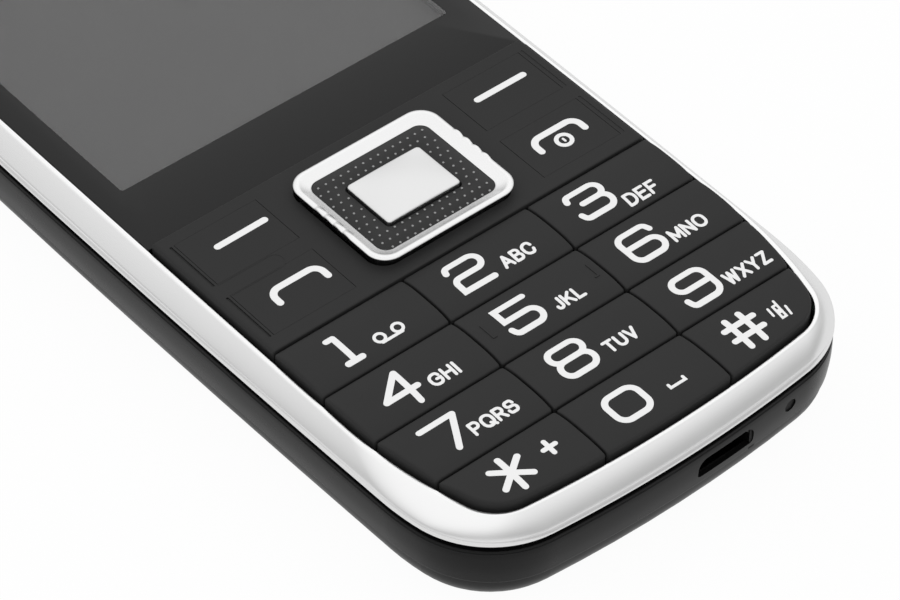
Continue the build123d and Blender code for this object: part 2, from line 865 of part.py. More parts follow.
def make_keypad_mat():
    """The rubber mat under the keys: a sheet, a rim that stands on the board, and a plunger per key."""
    mat = keypad_area(mat_inset, dome_low_z + fit_gap / 2, mat_top_z)
    mat -= keypad_area(mat_inset + mat_rim_width, 0, mat_low_z)
    for x, y in press_places():
        mat += post(x, y, plunger_radius, mat_low_z - plunger_height, mat_low_z + mat_thickness / 2)
    return mat - mic_room(dome_low_z, mat_low_z + fit_gap)


def mic_room(low, high):
    """Room for the microphone in the pieces beside it."""
    low_x = mic_x - mic_notch / 2
    high_x = mic_x + mic_notch / 2
    low_y = mic_front_y() - overrun
    return block(low_x, high_x, low_y, mic_front_y() + mic_notch_depth, low - overrun, high)


def make_key_domes():
    """Equal metal snap domes, one under each press point."""
    ball_radius = (dome_radius**2 + dome_height**2) / (2 * dome_height)
    domes = []
    for x, y in press_places():
        ball = Pos(x, y, dome_low_z + dome_height - ball_radius) * Sphere(ball_radius)
        domes.append(ball & post(x, y, dome_radius, dome_low_z, dome_low_z + dome_height + overrun))
    return group(domes)


def make_dome_sheet():
    """The thin sheet that carries the domes on the board."""
    sheet = keypad_area(mat_inset + mat_rim_width + fit_gap, board_top_z, dome_low_z)
    return sheet - mic_room(board_top_z, dome_low_z + overrun)


def make_main_board():
    """The circuit board, with holes for the screw bosses and room for the microphone."""
    board = prism(body, board_inset, board_low_z, board_top_z)
    for x, y in boss_places():
        board -= post(x, y, boss_radius + fit_gap * 2, board_low_z - overrun, board_top_z + overrun)
    return board - mic_room(board_low_z, board_top_z + overrun)


def make_shield_cans():
    """Two equal metal cans over the circuits on the underside of the board."""
    low = board_low_z - can_height
    return group(centred(side * can_x, can_y, can_width, can_length, low, board_low_z) for side in (-1, 1))


def make_battery():
    """The flat battery pack."""
    low = cover_wall + fit_gap
    middle_y = (battery_low_y + battery_high_y) / 2
    pack = rounded(
        0, middle_y, battery_width, battery_length, battery_corner_radius, low, low + battery_thickness
    )
    return pack


def make_battery_contacts():
    """Spring contacts that reach down from the board to the battery's end."""
    low = cover_wall + battery_thickness / 2
    contacts = []
    for index in range(contact_count):
        x = (index - (contact_count - 1) / 2) * contact_pitch
        contacts.append(centred(x, contact_y, contact_width, contact_length, low, board_low_z))
    return group(contacts)


def card_holder(x, width, length):
    """A folded metal holder on the underside of the board, open towards the bottom end."""
    low = board_low_z - sim_height
    shell = centred(x, holder_y, width, length, low, board_low_z)
    half = width / 2 - holder_wall
    low_y = holder_y - length / 2 - overrun
    high_y = holder_y + length / 2 - holder_wall
    slot_low = low + holder_wall
    return shell - block(x - half, x + half, low_y, high_y, slot_low, slot_low + holder_slot)


def make_usb_socket():
    """The charging socket: a metal shell with its tongue, on the underside of the board."""
    low_y = -body_length / 2 + usb_setback
    high_y = low_y + usb_length
    low_z = board_low_z - usb_height
    half = usb_width / 2
    shell = block(usb_x - half, usb_x + half, low_y, high_y, low_z, board_low_z)
    shell -= block(
        usb_x - half + usb_wall,
        usb_x + half - usb_wall,
        low_y - overrun,
        high_y - usb_wall,
        low_z + usb_wall,
        board_low_z - usb_wall,
    )
    tongue_z = board_low_z - usb_wall * 2 - usb_tongue_height
    half_tongue = usb_tongue_width / 2
    tongue = (low_y + usb_wall, high_y, tongue_z, tongue_z + usb_tongue_height)
    return shell + block(usb_x - half_tongue, usb_x + half_tongue, *tongue)


def make_microphone():
    """The round microphone behind its hole in the bottom wall."""
    return rod((mic_x, mic_front_y(), face_z - mic_below_face), (0, 1, 0), mic_radius, mic_length)


def make_display_lens():
    """The flat lens over the display, from the key area to the top, with the earpiece slot."""
    lens = prism(window, window_gap, lens_low_z, bezel_top_z)
    lens &= block(-body_width, body_width, function_top_y + fit_gap, body_length, 0, face_z)
    return lens - slot(
        0, earpiece_y, earpiece_slot_length, earpiece_slot_width, lens_low_z - overrun, bezel_top_z + overrun
    )


def make_lens_tape():
    """The adhesive frame that holds the lens."""
    rim = housing_shelf
    tape = ring(window, rim, rim + tape_width, plate_top_z, lens_low_z)
    low_y = function_top_y + rim
    tape &= block(-body_width, body_width, low_y, body_length, 0, face_z)
    side = window.half_width - rim - tape_width / 2
    return tape + block(-side, side, low_y, low_y + tape_width, plate_top_z, lens_low_z)


def make_lcd_tray():
    """The tray with the display's light guide, standing on the board."""
    low_y = active_low_y - panel_border_low - fit_gap
    high_y = active_high_y + panel_border + fit_gap
    half = active_width / 2 + panel_border + fit_gap
    low = board_top_z + fit_gap / 2
    top = low + tray_floor + tray_lip
    wall = tray_wall
    tray = block(-half - wall, half + wall, low_y - wall, high_y + wall, low, top)
    return tray - block(-half, half, low_y, high_y, low + tray_floor, top + overrun)


def make_lcd_panel():
    """The display's glass panel."""
    half = active_width / 2 + panel_border
    low = board_top_z + tray_floor + fit_gap
    low_y = active_low_y - panel_border_low
    return block(-half, half, low_y, active_high_y + panel_border, low, low + panel_thickness)


def make_earpiece_mesh():
    """The small grille that sits in the lens's slot."""
    size = (earpiece_slot_length - fit_gap, earpiece_slot_width - fit_gap)
    return slot(0, earpiece_y, *size, plate_top_z, plate_top_z + mesh_thickness)


def make_earpiece():
    """The receiver under the slot."""
    top = plate_low_z - fit_gap
    size = (earpiece_width, earpiece_length, earpiece_length / 3)
    return rounded(0, earpiece_y, *size, top - earpiece_height, top)


def make_loudspeaker():
    """The loudspeaker behind the grille in the cover."""
    top = floor_low_z - fit_gap
    size = (speaker_width, speaker_length, speaker_corner_radius)
    return rounded(speaker_x, speaker_y, *size, top - speaker_height, top)


def motor_z():
    """Height of the vibration motor's axis, close under the floor."""
    return floor_low_z - fit_gap - motor_radius


def make_vibration_motor():
    """The vibration motor's can, bored for its shaft."""
    can = rod((motor_x, motor_y, motor_z()), (1, 0, 0), motor_radius, motor_length)
    bore_x = motor_x + motor_length - motor_shaft_reach / 2
    bore = rod((bore_x, motor_y, motor_z()), (1, 0, 0), motor_shaft_radius + motor_shaft_gap, motor_length)
    return can - bore


def make_motor_weight():
    """The half-round weight on its shaft."""
    start_x = motor_x + motor_length + weight_gap
    weight = rod((start_x, motor_y, motor_z()), (1, 0, 0), weight_radius, weight_length)
    weight -= block(
        start_x - overrun,
        start_x + weight_length + overrun,
        motor_y - body_width,
        motor_y + body_width,
        motor_z() + motor_shaft_radius,
        face_z,
    )
    shaft_x = motor_x + motor_length - motor_shaft_reach / 2 + motor_shaft_gap
    length = start_x + weight_length - shaft_x
    return weight + rod((shaft_x, motor_y, motor_z()), (1, 0, 0), motor_shaft_radius, length)


def make_camera_module():
    """The camera on the underside of the board, looking out of the back."""
    base_low = board_low_z - camera_base
    camera = centred(0, camera_y, camera_size, camera_size, base_low, board_low_z)
    return camera + post(0, camera_y, camera_barrel_radius, cover_wall + battery_gap, base_low)


def make_antenna_carrier():
    """The plastic block that holds the antenna strip off the board."""
    top = floor_low_z - fit_gap
    return centred(0, antenna_y, antenna_width, antenna_length, top - antenna_height, top)


def make_antenna_strip():
    """The bent metal strip on the carrier's lower face."""
    high = floor_low_z - fit_gap - antenna_height
    low = high - antenna_strip_thickness
    run = antenna_width - antenna_strip_width * 2
    low_y = antenna_y - antenna_length / 2 + antenna_strip_width
    high_y = antenna_y + antenna_length / 2 - antenna_strip_width
    width = antenna_strip_width
    strip = block(-run / 2, run / 2, low_y, low_y + width, low, high)
    strip += block(-run / 2, run / 2 - run / 3, high_y - width, high_y, low, high)
    return strip + block(-run / 2, -run / 2 + width, low_y, high_y, low, high)


makers = {
    "battery_cover": make_battery_cover,
    "camera_window": make_camera_window,
    "mid_frame": make_mid_frame,
    "front_housing": make_front_housing,
    "housing_screws": make_housing_screws,
    "bezel_ring": make_bezel_ring,
    "display_lens": make_display_lens,
    "lens_tape": make_lens_tape,
    "lcd_panel": make_lcd_panel,
    "lcd_tray": make_lcd_tray,
    "function_plate": make_function_plate,
    "nav_gimbal": make_nav_gimbal,
    "nav_ring": make_nav_ring,
    "nav_plate": make_nav_plate,
    "ok_key": make_ok_key,
    "keypad_mat": make_keypad_mat,
    "key_domes": make_key_domes,
    "dome_sheet": make_dome_sheet,
    "main_board": make_main_board,
    "shield_cans": make_shield_cans,
    "battery": make_battery,
    "battery_contacts": make_battery_contacts,
    "sim_holder": lambda: card_holder(sim_x, sim_width, sim_length),
    "memory_card_holder": lambda: card_holder(memory_x, memory_width, memory_length),
    "usb_socket": make_usb_socket,
    "microphone": make_microphone,
    "earpiece": make_earpiece,
    "earpiece_mesh": make_earpiece_mesh,
    "loudspeaker": make_loudspeaker,
    "vibration_motor": make_vibration_motor,
    "motor_weight": make_motor_weight,
    "camera_module": make_camera_module,
    "antenna_carrier": make_antenna_carrier,
    "antenna_strip": make_antenna_strip,
}

pieces = {name: make() for name, make in makers.items()}
pieces.update(make_digit_keys())
pieces.update(make_function_keys())
for name, piece in pieces.items():
    export_step(piece, f"parts/{name}.step")
    print(name, round(piece.volume, 2), "mm3")
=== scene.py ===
# %% [markdown]
# A feature phone, dressed for its portrait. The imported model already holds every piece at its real
# size, so this lesson first loads that frame and keeps it still. Everything added later is a skin or a
# print that sits where the frame says. The frame is in metres, and a phone is small, so the lesson
# measures in millimetres and turns them into metres only when a mesh is made.

# %% Load the frame and keep its box
import math
from collections import namedtuple

import bpy
import numpy as np
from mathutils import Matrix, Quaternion, Vector
from mathutils.geometry import delaunay_2d_cdt


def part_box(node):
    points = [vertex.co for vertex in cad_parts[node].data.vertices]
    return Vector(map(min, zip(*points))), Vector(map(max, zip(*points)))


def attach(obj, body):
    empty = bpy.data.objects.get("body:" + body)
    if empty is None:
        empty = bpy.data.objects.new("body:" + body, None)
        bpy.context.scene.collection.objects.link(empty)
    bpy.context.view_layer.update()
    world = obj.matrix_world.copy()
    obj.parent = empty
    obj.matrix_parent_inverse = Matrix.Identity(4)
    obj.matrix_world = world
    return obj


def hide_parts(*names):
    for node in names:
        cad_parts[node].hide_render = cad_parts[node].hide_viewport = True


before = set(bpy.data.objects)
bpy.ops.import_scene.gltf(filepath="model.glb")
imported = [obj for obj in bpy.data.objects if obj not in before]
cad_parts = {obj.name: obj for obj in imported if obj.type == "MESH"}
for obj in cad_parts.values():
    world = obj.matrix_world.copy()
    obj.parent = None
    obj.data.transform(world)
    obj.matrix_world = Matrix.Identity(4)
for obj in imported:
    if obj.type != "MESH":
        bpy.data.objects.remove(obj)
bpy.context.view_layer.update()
MM = 0.001


def box_mm(node):
    """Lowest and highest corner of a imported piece, in millimetres."""
    low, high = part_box(node)
    return np.array(low) / MM, np.array(high) / MM


# %% [markdown]
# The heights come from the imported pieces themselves. The function plate is the fixed part of the key
# face, so its top is the level that keys, ring and prints are measured from. The line between the
# function keys and the digits is the plate's lower edge, and it carries the whole key layout.

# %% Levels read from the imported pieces
plate_low, plate_high = box_mm("function_plate")
bezel_low, bezel_high = box_mm("bezel_ring")
lens_low, lens_high = box_mm("display_lens")
ring_low, ring_high = box_mm("nav_ring")
ok_low, ok_high = box_mm("ok_key")
key_low = box_mm("key_5")[0]
column_pitch = 16.36
row_pitch = 7.8
key_gap = 0.16
face_z = plate_high[2]
line_y = plate_low[1] - key_gap / 2
function_top_y = lens_low[1] - 0.1
nav_y = (ring_low[1] + ring_high[1]) / 2
bezel_top_z = bezel_high[2]
print("face", round(face_z, 2), "line", round(line_y, 2), "nav", round(nav_y, 2), "bezel top", bezel_top_z)

# %% [markdown]
# The camera stands where the photograph was taken: to the phone's lower left, well above it and far
# away, with a long lens. A long lens keeps the long edges almost parallel. Its place and aim are real
# sizes in the frame, so the picture and the model agree without any shift.

# %% Camera
camera_place = Vector((-191.96, -259.0, 302.37))
camera_aim = Vector((-6.42, -38.81, 12.6))
camera_roll = math.radians(0.29)
camera_data = bpy.data.cameras.new("portrait_camera")
camera_data.sensor_width = 36.0
camera_data.lens = 164.0
camera_data.clip_start = 0.01
camera = bpy.data.objects.new("portrait_camera", camera_data)
bpy.context.scene.collection.objects.link(camera)
aim_turn = (camera_aim - camera_place).to_track_quat("-Z", "Y")
camera.rotation_mode = "QUATERNION"
camera.rotation_quaternion = aim_turn @ Quaternion((0, 0, 1), camera_roll)
camera.location = camera_place * MM
bpy.context.scene.camera = camera
bpy.context.scene.view_settings.view_transform = "Standard"
print("camera", [round(value, 3) for value in camera.location])

# %% [markdown]
# A material is a small network of nodes, and writing them by hand soon gets long. This helper adds one
# node, sets what it is told and links the rest, so that each finish below reads like a recipe.

# %% A helper for node networks
def node_in(tree, kind, settings=None, **inputs):
    """Adds a node. Inputs are values or output sockets; a name's underscores stand for spaces."""
    node = tree.nodes.new("ShaderNode" + kind)
    for name, value in (settings or {}).items():
        setattr(node, name, value)
    for name, value in inputs.items():
        number = name[1:]
        socket = node.inputs[int(number) if number.isdigit() else name.replace("_", " ")]
        if isinstance(value, bpy.types.NodeSocket):
            tree.links.new(value, socket)
        else:
            socket.default_value = value
    return node


def new_group(name, inputs, outputs):
    """An empty shader node group with named sockets."""
    tree = bpy.data.node_groups.new(name, "ShaderNodeTree")
    for label, kind, value in inputs:
        socket = tree.interface.new_socket(label, in_out="INPUT", socket_type="NodeSocket" + kind)
        socket.default_value = value
    for label, kind in outputs:
        tree.interface.new_socket(label, in_out="OUTPUT", socket_type="NodeSocket" + kind)
    return tree, tree.nodes.new("NodeGroupInput"), tree.nodes.new("NodeGroupOutput")


print("helpers ready")

# %% [markdown]
# Two effects are shared. Moulded and painted parts have a fine grain that breaks up a highlight, and
# a broad, faint mottle left by handling and by the mould's flow. Edges get a lighter colour, partly the
# wear of hands and partly a painted highlight where a rounded edge would catch the light: the
# difference between a surface's own normal and a rounded one finds them.

# %% Shared groups: grain, mottle, and lighter edges that are partly wear and partly a painted highlight
grain_group, group_in, group_out = new_group(
    "surface_grain",
    (("Grain Scale", "Float", 4000.0), ("Mottle Scale", "Float", 120.0)),
    (("Grain", "Float"), ("Mottle", "Float")),
)
place = node_in(grain_group, "TexCoord")
fine = node_in(
    grain_group,
    "TexNoise",
    Vector=place.outputs["Object"],
    Scale=group_in.outputs["Grain Scale"],
    Detail=3.0,
    Roughness=0.6,
)
broad = node_in(
    grain_group,
    "TexNoise",
    Vector=place.outputs["Object"],
    Scale=group_in.outputs["Mottle Scale"],
    Detail=4.0,
    Roughness=0.55,
)
grain_group.links.new(fine.outputs["Fac"], group_out.inputs["Grain"])
grain_group.links.new(broad.outputs["Fac"], group_out.inputs["Mottle"])

# The mask finds edges; their colour is lifted as wear and as a painted highlight.
edge_highlight_group, group_in, group_out = new_group(
    "rubbed_edges_and_highlight", (("Width", "Float", 0.0003),), (("Mask", "Float"),)
)
rounded = node_in(edge_highlight_group, "Bevel", {"samples": 4}, Radius=group_in.outputs["Width"])
own = node_in(edge_highlight_group, "NewGeometry")
agree = node_in(
    edge_highlight_group,
    "VectorMath",
    {"operation": "DOT_PRODUCT"},
    _0=rounded.outputs["Normal"],
    _1=own.outputs["Normal"],
)
mask = node_in(edge_highlight_group, "MapRange", Value=agree.outputs["Value"], _1=0.98, _2=0.7, _3=0.0, _4=1.0)
edge_highlight_group.links.new(mask.outputs["Result"], group_out.inputs["Mask"])
print("groups", [tree.name for tree in bpy.data.node_groups])

# %% [markdown]
# Most finishes on a phone are one of two kinds: a moulded plastic or a metal look. One recipe covers
# both. The mottle moves the colour and the gloss a little, the grain feeds a bump, and the edges get a
# lighter colour that is partly wear and partly a painted highlight. What is the same everywhere stays
# on the shader's own sockets.

# %% The finish recipe
def finish(name, colour, roughness, **options):
    """A finish from a dark and a light colour and a smooth and a rough value."""
    material = bpy.data.materials.new(name)
    material.use_nodes = True
    tree = material.node_tree
    shader = tree.nodes["Principled BSDF"]
    grain = node_in(tree, "Group", {"node_tree": grain_group})
    grain.inputs["Grain Scale"].default_value = options.get("grain_scale", 6000.0)
    grain.inputs["Mottle Scale"].default_value = options.get("mottle_scale", 90.0)
    dark, light = (tuple(shade) + (1.0,) for shade in colour)
    tone = node_in(tree, "Mix", {"data_type": "RGBA"}, _0=grain.outputs["Mottle"], _6=dark, _7=light)
    shown = tone.outputs[2]
    # An edge colour lifts the edges: partly wear, partly a painted highlight where an edge catches light.
    if "edge" in options:
        rubbed_and_lit = node_in(tree, "Group", {"node_tree": edge_highlight_group})
        rubbed_and_lit.inputs["Width"].default_value = options.get("edge_width", 0.00012)
        edge_highlight_colour = tuple(options["edge"]) + (1.0,)
        worn_and_lit = node_in(
            tree, "Mix", {"data_type": "RGBA"}, _0=rubbed_and_lit.outputs["Mask"], _6=shown, _7=edge_highlight_colour
        )
        shown = worn_and_lit.outputs[2]
    gloss = node_in(
        tree, "MapRange", Value=grain.outputs["Mottle"], _1=0.3, _2=0.7, _3=roughness[0], _4=roughness[1]
    )
    bump = node_in(
        tree,
        "Bump",
        Height=grain.outputs["Grain"],
        Strength=options.get("grain", 0.15),
        Distance=options.get("grain_depth", 0.00001),
    )
    tree.links.new(shown, shader.inputs["Base Color"])
    tree.links.new(gloss.outputs["Result"], shader.inputs["Roughness"])
    tree.links.new(bump.outputs["Normal"], shader.inputs["Normal"])
    shader.inputs["Metallic"].default_value = options.get("metallic", 0.0)
    shader.inputs["Specular IOR Level"].default_value = options.get("specular", 0.5)
    shader.inputs["Coat Weight"].default_value = options.get("coat", 0.0)
    shader.inputs["Coat Roughness"].default_value = options.get("coat_roughness", 0.1)
    shader.inputs["Transmission Weight"].default_value = options.get("transmission", 0.0)
    return material


def grey(*values):
    """Neutral colours from lightness values."""
    return tuple((value, value, value) for value in values)


finishes = {
    "key_plastic": finish("key_plastic", grey(0.023, 0.027), (0.52, 0.60), specular=0.19, grain=0.1),
    "frame_plastic": finish(
        "frame_plastic",
        grey(0.003, 0.006),
        (0.24, 0.32),
        mottle_scale=60.0,
        specular=0.19,
        # Lighter edges: a painted highlight on the chamfers and hole rims, with a little wear.
        edge=(0.03, 0.03, 0.03),
    ),
    "cover_plastic": finish("cover_plastic", grey(0.005, 0.008), (0.30, 0.38), grain=0.3, specular=0.25),
    "housing_plastic": finish("housing_plastic", grey(0.003, 0.005), (0.5, 0.6), specular=0.2),
    "bezel_silver": finish("bezel_silver", grey(0.92, 0.95), (0.22, 0.26), metallic=1.0, grain=0.01),
    "nav_silver": finish("nav_silver", grey(0.88, 0.91), (0.20, 0.24), metallic=1.0, grain=0.01),
    "nav_plate_plastic": finish("nav_plate_plastic", grey(0.018, 0.022), (0.45, 0.5), specular=0.3),
    "gimbal_plastic": finish("gimbal_plastic", grey(0.05, 0.07), (0.5, 0.6)),
    "mat_rubber": finish("mat_rubber", grey(0.02, 0.03), (0.6, 0.7), specular=0.3),
    "tape": finish("tape", grey(0.02, 0.03), (0.7, 0.8)),
    "tray": finish("tray", grey(0.55, 0.62), (0.3, 0.4)),
    "display": finish(
        "display", grey(0.058, 0.060), (0.4, 0.45), mottle_scale=20.0, specular=0.1, grain=0.01
    ),
    "dome_steel": finish("dome_steel", grey(0.6, 0.68), (0.2, 0.3), metallic=1.0),
    "shield_steel": finish("shield_steel", grey(0.55, 0.65), (0.3, 0.45), metallic=1.0, grain=0.3),
    "weight_metal": finish("weight_metal", grey(0.42, 0.5), (0.35, 0.5), metallic=1.0, grain=0.4),
    "contact_gold": finish(
        "contact_gold", ((0.72, 0.52, 0.2), (0.85, 0.64, 0.28)), (0.2, 0.3), metallic=1.0
    ),
    "circuit_board": finish("circuit_board", ((0.008, 0.07, 0.03), (0.014, 0.11, 0.05)), (0.3, 0.4)),
    "battery_wrap": finish("battery_wrap", ((0.2, 0.21, 0.23), (0.24, 0.25, 0.27)), (0.35, 0.45)),
    "speaker_plastic": finish("speaker_plastic", grey(0.02, 0.03), (0.5, 0.6)),
}
print("finishes", len(finishes))

# %% [markdown]
# The lens is one flat sheet. Its underside is printed black except for a clear window, so it needs
# two finishes on one piece: a glossy black and a clear glass. The grey display shows through.

# %% Lens glass, black print and white print
lens_black = finish(
    "lens_black_print", grey(0.003, 0.005), (0.08, 0.12), grain=0.005, mottle_scale=30.0, specular=0.32
)
lens_clear = finish("lens_clear", grey(0.93, 0.96), (0.02, 0.04), grain=0.0, specular=0.3, transmission=1.0)
tree = lens_clear.node_tree
rays = node_in(tree, "LightPath")
through = node_in(tree, "BsdfTransparent", Color=(0.92, 0.92, 0.92, 1.0))
glass_or_gap = node_in(
    tree,
    "MixShader",
    _0=rays.outputs["Is Shadow Ray"],
    _1=tree.nodes["Principled BSDF"].outputs[0],
    _2=through.outputs[0],
)
tree.links.new(glass_or_gap.outputs[0], tree.nodes["Material Output"].inputs["Surface"])
white_print = finish("white_print", grey(0.92, 0.96), (0.4, 0.5), specular=0.3)
middle_silver = finish("middle_key_silver", grey(0.76, 0.80), (0.22, 0.26), metallic=1.0, grain=0.01)
# The dots' lighter half-metal grey is a painted highlight for the light their small domes catch.
dot_painted_highlight = finish("dot_painted_highlight", grey(0.26, 0.34), (0.2, 0.3), metallic=0.6)
finishes["lens"] = lens_clear
for name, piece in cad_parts.items():
    slot_name = piece.material_slots[0].name.split(".")[0]
    piece.material_slots[0].material = finishes[slot_name]
print("dressed", len(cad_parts), "packed pieces")

# %% [markdown]
# Nearly every visible piece is a stack of closed outlines joined by quads: a ring, a cap or a plate.
# One helper joins such a stack, one turns it into a mesh, and one lets it ride on its body and stand
# for the imported solid. Edges sharper than a set angle stay crisp, and after a cut they are found anew.

# %% Lofting outlines into pieces
def loft(rings, joined=False):
    """Points and faces of a stack of closed outlines with the same count of points.

    A joined stack runs back into itself like a tyre. Any other one gets a fan over each end.
    """
    count = len(rings[0])
    points = [np.asarray(ring, float) for ring in rings]
    faces = []
    for ring_index in range(len(rings) if joined else len(rings) - 1):
        start, next_start = ring_index * count, (ring_index + 1) % len(rings) * count
        for index in range(count):
            after = (index + 1) % count
            faces.append((start + index, start + after, next_start + after, next_start + index))
    middle = len(rings) * count
    for ring_index in () if joined else (0, len(rings) - 1):
        points.append(points[ring_index].mean(axis=0)[None, :])
        for index in range(count):
            edge = (ring_index * count + index, ring_index * count + (index + 1) % count)
            faces.append((edge[0], edge[1], middle) if ring_index else (edge[1], edge[0], middle))
        middle += 1
    return np.vstack(points), faces


def crisp(piece, angle):
    """Marks the edges that bend more than an angle in degrees as sharp."""
    piece.data.set_sharp_from_angle(angle=math.radians(angle))


def piece_from(name, points, faces, material, sharp=35.0):
    """A mesh object from millimetre points."""
    mesh = bpy.data.meshes.new(name)
    mesh.from_pydata([tuple(point) for point in np.asarray(points) * MM], [], faces)
    for one in material if isinstance(material, (list, tuple)) else [material]:
        mesh.materials.append(one)
    mesh.validate()
    mesh.shade_smooth()
    piece = bpy.data.objects.new(name, mesh)
    bpy.context.scene.collection.objects.link(piece)
    crisp(piece, sharp)
    return piece


def settle(piece, body, slot, *nodes):
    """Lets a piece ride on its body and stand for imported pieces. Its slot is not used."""
    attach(piece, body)
    if nodes:
        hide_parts(*nodes)
    print(piece.name, len(piece.data.vertices), "points on", body)
    return piece


def carve(piece, cutter, operation="DIFFERENCE"):
    """Cuts a piece with another, or keeps only what they share, and removes the cutter."""
    change = piece.modifiers.new("carve", "BOOLEAN")
    change.operation = operation
    change.solver = "EXACT"
    change.object = cutter
    bpy.context.view_layer.update()
    graph = bpy.context.evaluated_depsgraph_get()
    mesh = bpy.data.meshes.new_from_object(piece.evaluated_get(graph))
    piece.modifiers.clear()
    piece.data = mesh
    bpy.data.objects.remove(cutter)
    return piece


# %% [markdown]
# The phone's outline is drawn with arcs, the way its mould would be: a long flat side, a shoulder, a
# corner and a gently curved end. Two such shapes are needed, the outer edge of the silver bezel and
# its inner edge. A shape part way between them is the same drawing with its sizes mixed.

# %% The two outlines
Shape = namedtuple("Shape", "half_width half_length side shoulder_y shoulder corner end")
bezel_side_width = 2.62
bezel_end_width = 2.45
half_width = bezel_high[0]
half_length = bezel_high[1]
body_shape = Shape(half_width, half_length, 1900.0, half_length - 14.5, 30.0, 11.0, 160.0)
window_shape = Shape(
    half_width - bezel_side_width,
    half_length - bezel_end_width,
    9000.0,
    half_length - bezel_end_width - 20.75,
    57.0,
    5.0,
    155.0,
)


def mixed(share):
    """The shape a share of the way from the outer outline to the inner one."""
    return Shape(*(outer + (inner - outer) * share for outer, inner in zip(body_shape, window_shape)))


def quarter_arcs(shape):
    """Centre, radius, first and last angle of the four arcs in the first quarter."""
    side_centre = np.array([shape.half_width - shape.side, 0.0])
    end_centre = np.array([0.0, shape.half_length - shape.end])
    turn = math.asin(shape.shoulder_y / shape.side)
    way = np.array([math.cos(turn), math.sin(turn)])
    shoulder_centre = side_centre + way * (shape.side - shape.shoulder)
    end_reach = shape.end - shape.corner
    shoulder_reach = shape.shoulder - shape.corner
    between = shoulder_centre - end_centre
    apart = np.hypot(*between)
    along = (end_reach**2 - shoulder_reach**2 + apart**2) / (2 * apart)
    across = math.sqrt(end_reach**2 - along**2)
    step = between / apart
    corner_centre = end_centre + step * along + np.array([step[1], -step[0]]) * across
    second = math.atan2(*(corner_centre - shoulder_centre)[::-1])
    third = math.atan2(*(corner_centre - end_centre)[::-1])
    return (
        (side_centre, shape.side, 0.0, turn),
        (shoulder_centre, shape.shoulder, turn, second),
        (corner_centre, shape.corner, second, third),
        (end_centre, shape.end, third, math.pi / 2),
    )


arc_steps = (36, 24, 26, 32)


def outline(shape, inset=0.0):
    """Points all round a shape, drawn inset inside it, anticlockwise from the middle of the right side."""
    quarter = []
    for (centre, radius, first, last), steps in zip(quarter_arcs(shape), arc_steps):
        for angle in np.linspace(first, last, steps, endpoint=False):
            quarter.append(centre + (radius - inset) * np.array([math.cos(angle), math.sin(angle)]))
    tip = np.array([[0.0, shape.half_length - inset]])
    right = np.array(quarter)
    left = right[:0:-1] * (-1, 1)
    upper = np.vstack([right, tip, left, [[inset - shape.half_width, 0.0]]])
    return np.vstack([upper, upper[-2:0:-1] * (1, -1)])


def at_height(points, height):
    """The same points with a height, or one height for each."""
    return np.column_stack([points, np.broadcast_to(height, len(points))])


print("outline points", len(outline(body_shape)))

# %% [markdown]
# The silver bezel is one moulded ring with a metal finish. From outside to inside its section has a low
# lip, a fine crease, a long flank that is straight along the sides and rounder at the ends, and a flat
# band with a small round inner edge. Such a ring is easiest as a section carried round the outline:
# each point of the section says how far in and how high it lies.

# %% Silver bezel
bezel_edge_z = bezel_low[2] + 0.36
bezel_skirt = 1.4
skirt_inset = 1.1
lip = (
    (0.1, 0.0),
    (0.02, 0.02),
    (0.0, 0.06),
    (0.03, 0.14),
    (0.13, 0.3),
    (0.27, 0.5),
    (0.31, 0.54),
    (0.34, 0.565),
)
flank_start = np.array([0.355, 0.6])
flank_end = np.array([2.13, bezel_top_z - bezel_edge_z - 0.07])
flank_round = 0.14
flank_round_side = 0.02
flank_steps = 15
end_zone, end_zone_blend = 17.0, 13.0
swell_outward = 0.7
band = ((2.18, -0.03), (2.24, -0.005), (2.32, 0.0), (2.5, 0.0), (2.57, -0.015), (2.61, -0.06), (2.62, -0.13))
flank_way = (flank_end - flank_start) / np.hypot(*(flank_end - flank_start))
section = [(inward, bezel_edge_z + upward, 0.0) for inward, upward in lip]
for share in np.linspace(0, 1, flank_steps):
    inward, upward = flank_start + (flank_end - flank_start) * share
    section.append((inward, bezel_edge_z + upward, 4 * share * (1 - share)))
section += [(inward, bezel_top_z + upward, 0.0) for inward, upward in band]
section += [(bezel_side_width, bezel_top_z - bezel_skirt, 0.0)]


def bezel_line(inward, height, swelling):
    """One closed line of the bezel; the flank swells more where the ring runs round an end."""
    edge = outline(mixed(inward / bezel_side_width))
    at_end = np.clip((np.abs(edge[:, 1]) - half_length + end_zone) / end_zone_blend, 0, 1)
    at_end = at_end * at_end * (3 - 2 * at_end)
    swell = swelling * (flank_round_side + (flank_round - flank_round_side) * at_end)
    away = edge / np.hypot(edge[:, 0], edge[:, 1])[:, None]
    edge = edge + away * (swell * flank_way[1])[:, None] * swell_outward
    return at_height(edge, height + swell * flank_way[0])


rings = [bezel_line(*point) for point in section]
rings += [at_height(outline(body_shape, skirt_inset), bezel_top_z - bezel_skirt)]
rings += [at_height(outline(body_shape, skirt_inset), bezel_edge_z)]
bezel = piece_from("silver_bezel", *loft(rings, joined=True), finishes["bezel_silver"], sharp=28.0)
settle(bezel, "phone_body", "bezel_silver", "bezel_ring")

# %% [markdown]
# Under the bezel the dark frame shows its outer wall. On the real phone that wall is a soft bulge under
# a narrow matt lip, with the charging opening and the microphone's hole in its lower end. The packed
# frame keeps its plain wall; this skin lies just outside it and carries the bulge and the holes.

